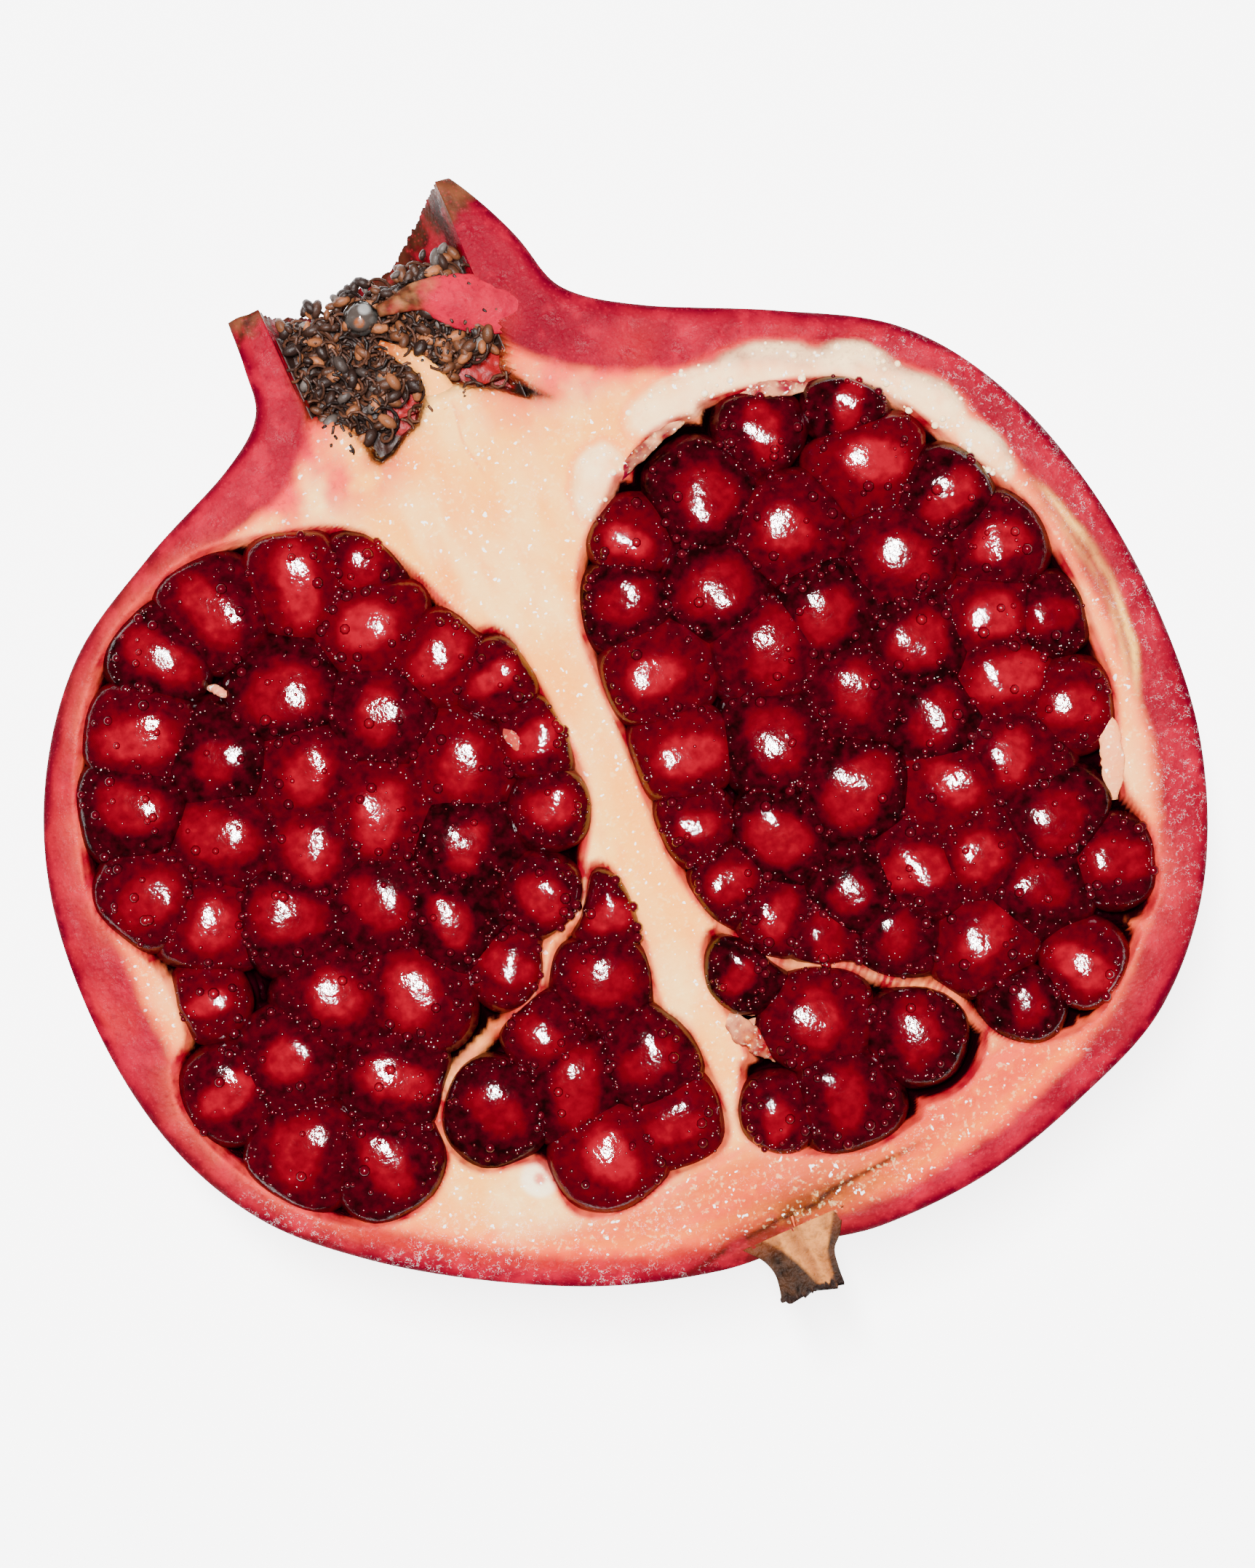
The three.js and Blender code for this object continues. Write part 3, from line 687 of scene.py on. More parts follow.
chamberDistance = chamberField()
cupDistance = outlineDistance(faceX, faceY, cup["outline"])[0]
bodyOutline = along(outlineNodes, np.linspace(0, 1, 240))
skinDistance = -outlineDistance(faceX, faceY, bodyOutline)[0]
sideDistance = np.minimum(abs(faceX - left[:, :1]), abs(right[:, :1] - faceX))
skinDistance = np.where(faceY > 46, np.where(q[:, None] > 12, sideDistance, skinDistance), skinDistance)
print("cut face measured")


# how far out of the lumps: their ellipses' distances, blended where they meet
def lumpField():
    blend, total = faceLook["lumpBlend"], np.zeros(faceX.shape)
    for x, y, a, b, turn in faceLook["lumps"]:
        c, s = heading(math.radians(turn))
        u, v = ((faceX - x) * c + (faceY - y) * s) / a, ((faceY - y) * c - (faceX - x) * s) / b
        total += np.exp(-blend * np.hypot(u, v))
    return -np.log(total + 1e-30) / blend + 0.1 * grain(faceX, faceY, 1.9, 35)


lumps = lumpField()


# height over the cut plane: a soft outer edge, rounded lips round the chambers, then down to their bed
def faceHeight():
    x, y = faceX, faceY
    z = -body["edgeDrop"] * (1 - np.clip(skinDistance / body["edgeWidth"], 0, 1)) ** 2
    z -= faceLook["lipDrop"] * (1 - np.clip(chamberDistance / faceLook["lipWidth"], 0, 1)) ** 2
    z += 0.16 * grain(x, y, 6, 1) + 0.09 * grain(x, y * 0.5, 1.4, 2)
    z += 0.55 * smoothStep(1.1, 0.5, lumps) - 0.12 * bell(lumps - faceLook["lumpEdge"], 0.1)
    z -= (faceLook["bed"] - faceLook["lipDrop"]) * smoothStep(0, faceLook["wall"], -chamberDistance)
    e = np.clip(-cupDistance, 0, None)
    wall = body["roundness"] * np.sqrt(np.clip(cup["radius"] ** 2 - (x - cup["middle"]) ** 2, 0, None))
    z = np.where(cupDistance < 0, -np.minimum(0.5 + 3.2 * e, wall * 0.98), z)
    z[:, 0] = z[:, -1] = -body["edgeDrop"]
    return z


# how red, salmon or cream the cut is: coats laid one over the other, each by its distance to the
# skin, the chambers, the cup or the stem, broken up by noise
def facePaint():
    x, y = faceX, faceY
    stations = range(len(redWidth["left"]))
    width = np.where(x < -2, np.interp(q, stations, redWidth["left"])[:, None],
                     np.interp(q, stations, redWidth["right"])[:, None])
    d = skinDistance + 0.5 * grain(x, y, 5, 11) + 0.3 * grain(x, y, 1.3, 12)
    red = smoothStep(width + 0.6, width - 0.9, d)
    low = smoothStep(-30.5, -34, y)  # under the chambers, by the stem
    funnel = bell(x + 2, 10) * bell(y - 29, 9)
    septum = bell(x + 0.8 + 0.04 * (y - 5), 2.2) * smoothStep(20, 8, y) * smoothStep(-30, -22, y)
    east = smoothStep(4, 12, x) * smoothStep(-25, -31, y + 0.12 * (x - 10))
    crown = smoothStep(29, 35, y + 0.8 * grain(x, y, 1.8, 50)) * patchy(x, y, 2.4, 24, 0.5, 1.1)
    crown = crown * (1 - bell(x + 1.5, 5.5))
    smear = patchy(x * 0.35, y * 1.2 - 0.15 * x, 1.9, 39, -0.3, 1.7)
    mottle = patchy(x * 0.45 + y * 0.1, y * 1.5, 3.2, 23, 0.2, 1.1)
    c = toward(colour(252, 184, 82), colour(244, 140, 42), 0.5 + 0.7 * grain(x, y * 0.4, 6, 21))
    c = coated(c, [
        ((253, 218, 142), patchy(x, y * 0.6, 3.4, 29, 0.4, 1.3) * 0.6),
        ((244, 130, 44), patchy(x * 1.3, y * 0.5, 2.2, 34, -0.35, 1.6) * 0.6),
        ((248, 140, 40), funnel * (0.2 + 0.5 * patchy(x * 2.2, y * 0.45, 4, 22, 0.5, 1.3))),
        ((250, 150, 46), 0.5 * septum),
        ((196, 62, 15), low * 0.9),
        ((186, 40, 26), east * patchy(x * 0.6, y * 1.3, 2.6, 49, 0.8, 1.2) * 0.92),
        ((196, 34, 20), low * mottle * fade(d - width, 3.2)),
        ((222, 70, 50), smoothStep(-27, -30, y) * smear * 0.7),
        ((206, 112, 16), low * bell(d - width - 0.8, 0.5) * 0.85),
        ((234, 76, 34), fade(d - width, 1.7) * 0.85),  # flush beside the red
        ((214, 20, 46), crown * 0.9)])

    west = smoothStep(-4, -12, x) * smoothStep(-14, -22, y) * smoothStep(1.0, 2.2, d)
    crimson = toward(colour(104, 0, 22), colour(144, 0, 34), 0.5 + 0.7 * grain(x, y, 2.6, 25))
    crimson = coated(crimson, [
        ((176, 20, 24), patchy(x, y, 7, 26, -0.2, 1) * 0.7),
        ((160, 12, 14), west * 0.75),
        ((80, 0, 18), 0.45 * smoothStep(34, 40, y) * (x > 0))])
    c = toward(c, crimson, red)

    bow = skinDistance - 2.7 - 0.014 * (y - 1) ** 2 + 0.3 * grain(x, y, 3.1, 37)
    streak = (bell(bow, 0.35) + 0.5 * bell(bow - 0.9, 0.3)) * patchy(x, y * 0.4, 2.6, 38, 0.6, 1.2)
    streak = streak * smoothStep(-12, -7, y) * smoothStep(15, 9, y) * (x > 30)
    scar = np.hypot(x + 20.4, y + 27.3)
    thread = bell(x + 0.4 - 0.25 * np.sin(y * 0.9), 0.13) * smoothStep(29, 31, y) * smoothStep(37.4, 36, y)
    halo = bell(x + 0.6, 7.5) * bell(y + 38.9, 2.5) * (1.05 + 0.3 * grain(x * 0.6, y * 2, 2.4, 46))
    line = bell(y + 38.9 - 0.1 * (x + 2) - 0.3 * grain(x, y, 3, 47), 0.3)
    line = line * smoothStep(-17, -8, x) * smoothStep(13, 7, x)
    rim = chamberDistance - faceLook["hidden"]
    intoCup = -cupDistance
    c = coated(c, [
        ((74, 0, 18), smoothStep(0.9, 0.1, d)),
        ((240, 176, 80), streak * 0.9),
        ((252, 232, 190), smoothStep(1.9, 1.3, scar)),
        ((196, 40, 40), smoothStep(0.75, 0.3, scar) * 0.8),
        ((226, 110, 40), thread * 0.6),
        ((84, 34, 12), np.clip(halo, 0, 1) * 0.9),
        ((40, 14, 6), line * 0.9),
        ((255, 216, 160), smoothStep(1.15, 0.8, lumps) * patchy(x, y, 2.2, 30, 0.75, 0.5)),
        ((226, 60, 48), bell(lumps - faceLook["lumpEdge"], 0.12) * 0.3 * smoothStep(2, 3, d)),
        ((236, 96, 52), fade(rim, 0.8) * (0.25 + 0.3 * grain(x, y, 3.1, 36))),
        ((210, 58, 48), smoothStep(0.5, 0.05, rim) * patchy(x, y, 2.7, 48, 0.6, 0.6)),
        # a dark line round the arils: partly the pith's dried edge, partly a painted contact shadow
        ((110, 0, 18), fade(rim, 0.16) * patchy(x, y, 1.7, 27, 0.75, 0.7)),
        # the chambers' walls and beds under the arils, nearly black: painted shade
        ((26, 0, 5), smoothStep(-0.12, 0.04, -chamberDistance)),
        ((84, 34, 18), fade(cupDistance, 0.35) * smoothStep(48, 40, y) * 0.8),
        ((84, 6, 8), smoothStep(0.05, 0.5, intoCup)),
        ((24, 11, 8), smoothStep(0.0, 0.4, intoCup) * smoothStep(36.6, 35.4, y))])

    dry = smoothStep(0.72, 0.86, crownShare[:, None] + 0.3 * grain(x, y, 1.3, 28))
    c = toward(c, toward(colour(38, 19, 11), colour(96, 54, 34), 0.5 + grain(x, y, 0.9, 33)), dry * 0.95)
    c = toward(c, colour(34, 8, 6), smoothStep(0.1, 0.6, intoCup) * smoothStep(44, 47, y) * 0.75)
    # where the painted glints go: the wet red rind on the right, and the wet flesh at the lower left
    wet = 0.55 * smoothStep(22, 30, x) * smoothStep(29, 24, y) * (0.4 + 0.6 * smoothStep(-32, -18, y)) * red
    wet += 0.85 * smoothStep(-8, -14, x) * smoothStep(-16, -23, y) * smoothStep(8, 5, d)
    return c, np.clip(red + smoothStep(40, 42, y) + crown, 0, 1), wet


faceZ = faceHeight()
facePoints = np.stack([faceX, faceY + rimReach(faceShare), faceZ], -1)
faceColours, faceRed, faceWetGlint = facePaint()
bedLayer = smoothStep(-1.1, -0.6, -chamberDistance)


# skin: a half ellipse hangs between the two sides at every station, swollen a little by noise
def skinPoints():
    v = np.pi * skinShare[None, :]
    middle = (left + right) / 2
    reach = (right - left) / 2
    xy = middle[:, None] + reach[:, None] * np.cos(v)[..., None]
    drop = body["edgeDrop"]
    z = -drop - np.maximum(halfDepth[:, None] - drop, 0.2) * np.sin(v)
    free = smoothStep(0, 0.06, skinShare) * smoothStep(1, 0.94, skinShare)
    arc = halfDepth[:, None] * v
    swell = free * (0.10 * grain(arc, xy[..., 1], 9, 31) + 0.05 * grain(arc, xy[..., 1], 2.4, 32))
    outward = np.stack([reach[:, :1] * np.cos(v), -halfDepth[:, None] * np.sin(v)], -1)
    outward /= np.linalg.norm(outward, axis=-1, keepdims=True) + 1e-9
    x = xy[..., 0] + swell * outward[..., 0]
    y = xy[..., 1] + rimReach(skinShare)
    z = np.maximum(z + swell * outward[..., 1], -cutHeight)
    points = np.stack([x, y, z], -1)
    points[:, 0], points[:, -1] = facePoints[:, 0], facePoints[:, -1]
    return points


# deep red in patches, orange towards the stem and the crown, brown at the crown's dry rim
def skinPaint(points):
    y, z = points[..., 1], points[..., 2]
    arc = halfDepth[:, None] * np.pi * skinShare[None, :]
    ends = smoothStep(-30, -42, y) + smoothStep(36, 46, y)
    dry = smoothStep(0.45, 0.95, crownShare[:, None] + 0.25 * grain(arc, y, 2, 44))
    c = toward(colour(84, 0, 16), colour(116, 0, 20), 0.5 + 0.6 * grain(arc, y, 14, 41))
    return coated(c, [
        ((150, 34, 14), patchy(arc, y, 20, 42, -0.1, 1) * 0.8),
        ((140, 34, 14), ends * 0.4 * (0.5 + grain(arc, y, 5, 43))),
        ((96, 0, 20), smoothStep(-2.5, -0.6, z) * 0.5),
        ((76, 42, 26), dry * 0.9)])


# inside of the rind, the same half ellipse moved inwards, with coarse columns
def shellPoints(more):
    v = np.pi * np.linspace(1, 0, body["shellColumns"] + 1)[None, :]
    first, last = body["bandColumns"], body["bandColumns"] + body["middleColumns"]
    a, b = facePoints[:, first, :2], facePoints[:, last, :2]
    xy = (a + b)[:, None] / 2 + (b - a)[:, None] / 2 * np.cos(v)[..., None]
    z = -np.maximum(halfDepth - skinDepth - more, 0.3)[:, None] * np.sin(v)
    return np.concatenate([xy, z[..., None]], -1)


# quads of a grid of point numbers
def quadsOf(index, flip=False):
    quads = np.stack([index[:-1, :-1], index[:-1, 1:], index[1:, 1:], index[1:, :-1]], -1).reshape(-1, 4)
    return quads[:, ::-1] if flip else quads


# triangles from a ring to its centre
def fanOf(ring, centre, flip=False):
    fan = np.stack([np.full(len(ring), centre), ring, np.roll(ring, -1)], -1)
    return fan[:, ::-1] if flip else fan


# a strip between a fine edge and one with half as many steps that starts and ends at the same points
def rimStrip(fine, coarse):
    a, b, c = fine[:-1:2], fine[1::2], fine[2::2]
    s, t = coarse[:-1], coarse[1:]
    return [np.stack([b, c, t, s], -1)[:-1], np.stack([a, b, s], -1)[1:], np.stack([b, c, s], -1)[-1:]]


# rind and pith: each takes its columns of the cut face, and is closed by the inside of the rind, a
# wall at the seam and one at the stem's end
def bodyPieces():
    rows, columns = faceX.shape
    first, last = body["bandColumns"], body["bandColumns"] + body["middleColumns"]
    skin = skinPoints()
    outer = np.arange(rows * columns).reshape(rows, columns)
    under = rows * columns + np.arange(rows * len(skinShare)).reshape(rows, -1)
    shell = under[-1, -1] + 1 + np.arange(rows * (body["shellColumns"] + 1)).reshape(rows, -1)
    under[:, 0], under[:, -1] = outer[:, 0], outer[:, -1]
    shell[:, 0], shell[:, -1] = outer[:, first], outer[:, last]
    flat = lambda a: a.reshape(-1, a.shape[-1])
    for name, finish, more in (("rind", rind, 0.0), ("pith", pith, 0.1)):
        inside = flat(shellPoints(more))
        points = np.concatenate([flat(facePoints), flat(skin), inside])
        seamRing = np.concatenate([outer[seamRow, first:last], shell[seamRow, ::-1][:-1]])
        seamCentre, poleCentre = len(points), len(points) + 1
        if name == "rind":
            poleRing = np.concatenate([outer[0, :first], shell[0], outer[0, last + 1:], under[0, 1:-1][::-1]])
            faces = [quadsOf(outer[:, :first + 1]), quadsOf(outer[:, last:]),
                     quadsOf(outer[seamRow:, first:last + 1]), quadsOf(under, True),
                     *rimStrip(outer[-1], under[-1])]
        else:
            poleRing = np.concatenate([outer[0, first:last], shell[0, ::-1][:-1]])
            faces = [quadsOf(outer[:seamRow + 1, first:last + 1])]
        faces = [quadsOf(shell[:seamRow + 1], name == "pith"), fanOf(seamRing, seamCentre, name == "rind"),
                 fanOf(poleRing, poleCentre, True), *faces]
        points = np.concatenate([points, [points[seamRing].mean(0), points[poleRing].mean(0)]])
        counts = [faceX.size, skin.size // 3, len(inside) + 2]
        layers = {"skin": np.repeat([0, 1, 0], counts), "paint": np.concatenate([
            flat(faceColours), flat(skinPaint(skin)), np.tile(colour(200, 110, 60), (len(inside), 1)),
            np.tile(colour(160, 40, 40), (2, 1))])}
        for key, onFace, beyond in (("red", faceRed, 1), ("wet", faceWetGlint, 0), ("bed", bedLayer, 0)):
            layers[key] = np.concatenate([onFace.ravel(), np.full(sum(counts[1:]), beyond)])
        used = np.unique(np.concatenate([f.ravel() for f in faces]))
        renumber = np.zeros(len(points), int)
        renumber[used] = np.arange(len(used))
        faces = [renumber[f] for f in faces]
        layers = {key: values[used] for key, values in layers.items()}
        addPiece(name + "_fine", points[used], faces, finish, layers, (name,), inner=(0, 1, 2))


bodyPieces()
print("rind and pith made")


# Closed rings: a pole, rings of points, a pole

def dropFaces(rings, sides):
    ring = 1 + np.arange(rings * sides).reshape(rings, sides)
    around = np.concatenate([ring, ring[:, :1]], axis=1)
    last = 1 + rings * sides
    top = np.stack([np.full(sides, 0), around[0, :-1], around[0, 1:]], -1)
    low = np.stack([np.full(sides, last), around[-1, 1:], around[-1, :-1]], -1)
    return [top, quadsOf(around, True), low]


# a ball of radius one
def unitDrop(rings, sides):
    angle = np.linspace(0, 2 * np.pi, sides, endpoint=False)[None, :]
    polar = (np.arange(1, rings + 1) / (rings + 1) * np.pi)[:, None]
    x, y = np.sin(polar) * np.cos(angle), np.sin(polar) * np.sin(angle)
    unit = np.stack([x, y, np.cos(polar) + 0 * angle], -1)
    return np.concatenate([[[0, 0, 1]], unit.reshape(-1, 3), [[0, 0, -1]]])


# a drop: its radius follows the sine of the polar angle, flattened where it meets its neighbours,
# and its upper half is tilted by the tip and bent by the ridge
def arilPoints(one, angle, polar):
    reach, mean, blunt = arilReach(one, angle), one["mean"], arilLook["blunt"]
    swing = lambda pair, turns: pair[0] * np.cos(turns * angle) + pair[1] * np.sin(turns * angle)
    share = np.sin(polar) ** blunt
    wave = 0.02 * np.sin(3 * angle + one["seed"]) + 0.015 * np.sin(5 * angle - 4 * polar + 2 * one["seed"])
    r = (mean + (reach - mean) * share ** 1.6) * share * (1 + wave * share)
    fall = np.where(polar < np.pi / 2, arilLook["shoulder"], arilLook["root"])
    upper = np.clip(np.cos(polar), 0, 1) * r
    z = one["top"] - arilLook["shoulder"] * one["size"] + np.cos(polar) * fall * one["size"]
    z = z + upper * swing(one["tip"], 1) + upper * r / mean ** 2 * 0.5 * swing(one["ridge"], 2)
    x = one["middle"][0] + r * np.cos(angle) + one["lean"][0] * np.cos(polar)
    y = one["middle"][1] + r * np.sin(angle) + one["lean"][1] * np.cos(polar)
    return np.stack([x, y, z], -1)


# how bright the flesh is: a glowing middle that follows the aril's own outline, dark towards its edge; the
# middle is partly the seed seen through the flesh and partly painted glow of light through it, and the dark
# edge is painted shade
def arilCore(one, points):
    away = points[:, :2] - one["middle"] - 1.3 * one["lean"]
    angle = np.arctan2(away[:, 1], away[:, 0])
    u, v = away @ one["along"], away @ (one["along"][::-1] * (-1, 1))
    reach = 0.6 * one["mean"] + 0.4 * arilReach(one, angle)
    wave = 1 + 0.1 * np.sin(2 * angle + one["seed"]) + 0.06 * np.sin(3 * angle - one["seed"])
    off = np.hypot(u / one["slim"] ** 0.7, v * one["slim"] ** 0.5) / reach * wave / one["spread"]
    # lower down the sides, where the arils meet, the flesh is set dark: painted shade
    high = smoothStep(-3.2, -0.9, points[:, 2] - one["top"])
    return (0.22 + 0.66 * one["glow"] * smoothStep(0.74, 0.38, off)) * high + 0.14 * (1 - high)


# the arils of a chamber are closed drops in one piece
def arilPieces():
    angle = np.linspace(0, 2 * np.pi, arilLook["sides"], endpoint=False)[None, :]
    polar = (np.arange(1, arilLook["rings"] + 1) / (arilLook["rings"] + 1) * np.pi)[:, None]
    for name, found in arils.items():
        heap = Heap()
        for one in found:
            around = arilPoints(one, angle + 0 * polar, polar + 0 * angle)
            poles = arilPoints(one, np.zeros(2), np.array([1e-4, np.pi - 1e-4]))
            points = np.concatenate([poles[:1], around.reshape(-1, 3), poles[1:]])
            heap.add(points, dropFaces(arilLook["rings"], arilLook["sides"]),
                     core=arilCore(one, points), tone=np.full(len(points), one["tone"]))
        heap.piece(name + "_fine", aril, "aril", (name,))


arilPieces()
print("arils made", len(allArils))


# small beads of juice that sit on the arils, and pale specks on the beads' tops, along the seams and on the
# arils' faces, which are painted glints
def juiceBeads():
    heap, glintSpecks = Heap(), Heap()
    unit, faces = unitDrop(3, 8), dropFaces(3, 8)
    speck, speckFaces = unitDrop(1, 4), dropFaces(1, 4)
    for k, one in enumerate(allArils):
        i = np.arange(int(arilLook["beads"] * (0.4 + 0.6 * one["mean"] / 4.2)))
        spots = arilPoints(one, 2 * np.pi * drawn(i, k, 51), 0.1 + 1.0 * np.sqrt(drawn(i, k, 52)))
        sizes = within(arilLook["beadSize"], drawn(i, k, 53) ** 4)
        glow = arilCore(one, spots) + 0.1
        for spot, r, g in zip(spots, sizes, glow):
            # each bead is dark round its lower side, painted shade, and brighter than the aril under it,
            # painted glow
            heap.add(spot + unit * r * (1, 1, 0.75), faces, core=g * smoothStep(0.35, 0.85, unit[:, 2]))
            glintSpecks.add(spot + (0, 0, 0.72 * r) + speck * (0.02 + 0.12 * r), speckFaces)
        i = np.arange(arilLook["seamSpecks"] + arilLook["faceSpecks"])
        angle = 2 * np.pi * drawn(i, k, 54)
        seam = i < arilLook["seamSpecks"]
        reach = arilReach(one, angle)
        onSeam = np.arcsin(np.clip((reach - arilLook["overlap"]) / reach, 0, 1) ** (1 / arilLook["blunt"]))
        polar = np.where(seam, onSeam * (0.97 + 0.05 * drawn(i, k, 55)), 0.2 + 0.9 * drawn(i, k, 56))
        spots = arilPoints(one, angle, np.clip(polar, 0.05, 1.5))
        for spot, r in zip(spots, within(arilLook["speckSize"], drawn(i, k, 57) ** 2)):
            glintSpecks.add(spot + (0, 0, 0.02) + speck * r, speckFaces)
    heap.piece("juice_beads", juiceDrop, "aril")
    glintSpecks.piece("painted_glint_specks", foam, "aril")


juiceBeads()


# pale beads on the lumps of flesh round the upper chamber
def fleshBeads():
    heap = Heap()
    unit, faces = unitDrop(4, 8), dropFaces(4, 8)
    for k, (x, y, a, b, turn) in enumerate(faceLook["lumps"]):
        i = np.arange(faceLook["lumpBeads"])
        angle, far = 2 * np.pi * drawn(i, k, 91), 0.55 + 0.5 * drawn(i, k, 92)
        u, v = a * far * np.cos(angle), b * far * np.sin(angle)
        c, s = heading(math.radians(turn))
        px, py = x + u * c - v * s, y + u * s + v * c
        for j in i:
            near = np.hypot(faceX - px[j], faceY - py[j])
            row, column = np.unravel_index(np.argmin(near), near.shape)
            if chamberDistance[row, column] > 0.35 and skinDistance[row, column] > 2.5:
                r = within(faceLook["lumpBeadSize"], drawn(j, k, 93) ** 3)
                heap.add((px[j], py[j], faceZ[row, column]) + unit * r * (1, 1, 0.7), faces)
    heap.piece("flesh_beads", fleshBead, "pith")


fleshBeads()
print("beads made")


# Tongues: a tapering elliptic section along a spine, its width and thickness made uneven by noise

def tongue(spine, halfWidths, halfThickness, rings=56, sides=32, rough=0.0, seed=0):
    t = np.linspace(0, 1, rings)
    p = along(spine, t)
    d = unitOf(np.gradient(p, axis=0))
    across = unitOf(np.stack([-d[:, 1], d[:, 0], 0 * t], -1))
    up = np.cross(d, across)
    a = np.linspace(0, 2 * np.pi, sides, endpoint=False)
    w, h = along(halfWidths, t), along(halfThickness, t)
    wave = 1 + rough * grain(t[:, None] * 30 + 0 * a, np.cos(a)[None, :] * 4 + 0 * t[:, None], 2.5, seed)
    wide, high = (w * np.cos(a) * wave)[..., None], (h * -np.sin(a) * wave)[..., None]
    ring = p[:, None] + across[:, None] * wide + up[:, None] * high
    points = np.concatenate([p[:1], ring.reshape(-1, 3), p[-1:]])
    return points, dropFaces(rings, sides), np.concatenate([[0], np.repeat(t, sides), [1]])


foldedSepal = {
    "spine": [(10.2, 41.2, -1.3), (6.5, 42.9, -0.6), (3.5, 44.8, -0.1), (1, 46.2, 0.2), (-2.8, 46.4, 0.3)],
    "halfWidths": [2.1, 2.4, 2.3, 1.3, 0.5], "halfThickness": [1.0, 0.95, 0.9, 0.75, 0.4],
}
style = {
    "spine": [(-0.7, 36.5, -1.2), (-0.9, 40, -1.0), (-2.2, 42, -0.8), (-3.9, 43.9, -0.5)],
    "halfWidths": [1.7, 0.9, 0.75, 0.4], "halfThickness": [1.2, 0.8, 0.7, 0.4],
}

# torn membranes between the arils: tint, half widths, spine
membranes = [
    ((110, 4, 16), [0.5, 1.0, 1.0, 0.4],
     [(-0.6, -20.6, -0.5), (0.6, -22.6, 0.3), (1.9, -24.8, 0.2), (2.8, -26.4, -0.8)]),
    ((150, 44, 32), [0.4, 0.9, 1.0, 0.3],
     [(1.2, -22.4, -0.8), (3.0, -23.6, -0.1), (4.0, -25.6, -0.2), (4.2, -27.4, -1.2)]),
    ((150, 44, 40), [0.3, 0.8, 0.7, 0.3],
     [(-7.2, 10.2, -1.0), (-6.9, 8.4, 0.9), (-6.3, 6.4, 0.8), (-5.6, 4.6, -0.6)]),
    ((206, 110, 84), [0.2, 0.4, 0.35, 0.2],
     [(-29.4, 23.0, -0.8), (-28.7, 22.4, 0.1), (-28.2, 21.8, 0.2), (-27.4, 21.2, -0.8)]),
    ((90, 2, 26), [0.3, 0.6, 0.5, 0.3],
     [(9.4, 24.6, -0.6), (12.6, 26.0, 0.3), (15.4, 26.9, 0.3), (18.4, 27.5, -0.4)]),
    ((110, 2, 30), [0.3, 0.7, 0.6, 0.2],
     [(22.0, 27.4, -0.4), (24.6, 26.9, 0.4), (27.0, 26.0, 0.3), (29.0, 25.4, -0.4)]),
    ((232, 140, 90), [0.3, 0.9, 1.0, 0.3],
     [(39.8, -9.6, -0.4), (39.9, -12.0, 0.3), (38.9, -15.0, 0.3), (38.0, -17.6, -0.5)]),
]

dropletLook = {"middle": (-4.4, 46.6, -0.7), "radius": 1.55, "rings": 30, "sides": 40}


def crownPieces():
    points, faces, share = tongue(rough=0.1, seed=61, **foldedSepal)
    x, y = points.T[:2]
    c = toward(colour(128, 0, 32), colour(176, 2, 44), 0.5 + 0.7 * grain(x, y, 1.8, 62))
    dry = toward(colour(60, 32, 18), colour(150, 96, 60), 0.5 + grain(x, y, 0.8, 65))
    c = toward(c, dry, smoothStep(0.6, 0.78, share + 0.1 * grain(x, y, 1.2, 63)))
    layers = {"paint": c, "skin": np.full(len(points), 0.3), "red": np.ones(len(points))}
    addPiece("folded_sepal", points, faces, rind, layers)

    points, faces, share = tongue(rough=0.05, seed=64, **style)
    c = toward(colour(248, 160, 70), colour(150, 64, 20), smoothStep(0.35, 0.95, share))
    addPiece("style", points, faces, pith, {"paint": c, "bed": np.zeros(len(points))})

    heap = Heap()
    for k, (tint, halfWidths, spine) in enumerate(membranes):
        points, faces, share = tongue(spine, halfWidths, [0.15, 0.3, 0.3, 0.12],
                                      rings=30, sides=20, rough=0.35, seed=66 + k)
        pale = 0.15 + 0.7 * grain(points[:, 0], points[:, 1], 1.1, 67)
        c = toward(colour(*tint), colour(244, 170, 120), pale)
        heap.add(points, faces, paint=c, bed=np.zeros(len(points)))
    heap.piece("torn_membranes", pith, "pith")

    size = dropletLook["rings"], dropletLook["sides"]
    unit, faces = unitDrop(*size), dropFaces(*size)
    x, y, z = unit.T
    # dark round its lower half, painted shade, with a brown spot off the middle and a pale patch up to the
    # right, a painted highlight
    c = coated(colour(58, 50, 46), [
        ((14, 9, 7), smoothStep(0.8, 0.5, z)),
        ((120, 62, 30), smoothStep(0.34, 0.2, np.hypot(x + 0.15, y + 0.3))),
        ((150, 148, 146), smoothStep(0.42, 0.2, np.hypot(x - 0.4, y - 0.3)) * 0.8)])
    points = dropletLook["middle"] + dropletLook["radius"] * unit
    addPiece("dried_droplet", points, faces, droplet, {"paint": c})


crownPieces()


# Stamens: curled threads and beans over a dark bed

stamenLook = {
    "threads": 380, "steps": 10, "sides": 5, "threadRadius": 0.16,
    "beans": 330, "beanSize": (0.36, 0.74),
    "floor": 35.2, "end": 49.4, "inset": 1.0,
    # bare glossy wall on either side of the style: middle, then half width and half height of what
    # is free of stamens and of what is red
    "bare": [((3.2, 37.8), (2.5, 2.1), (2.9, 2.5)), ((-3.9, 37.6), (1.7, 1.7), (2.1, 2.0))],
}
stamenHalf = cup["radius"] - stamenLook["inset"]
stamenLength = stamenLook["end"] - stamenLook["floor"]


# moves stamens away from the style and from the bare wall on either side of it
def besideStyle(x, y):
    styleX, styleY = np.array(style["spine"]).T[:2]
    off = x - np.interp(y, styleY, styleX)
    x = np.where((abs(off) < 1.7) & (y < 44.6), x + np.sign(off + 1e-6) * (1.7 - abs(off)), x)
    for (cx, cy), (a, b), _ in stamenLook["bare"]:
        bare = np.hypot((x - cx) / a, (y - cy) / b) < 1
        y = np.where(bare, cy + b + 0.7 * (y - cy + b), y)
    return x, y


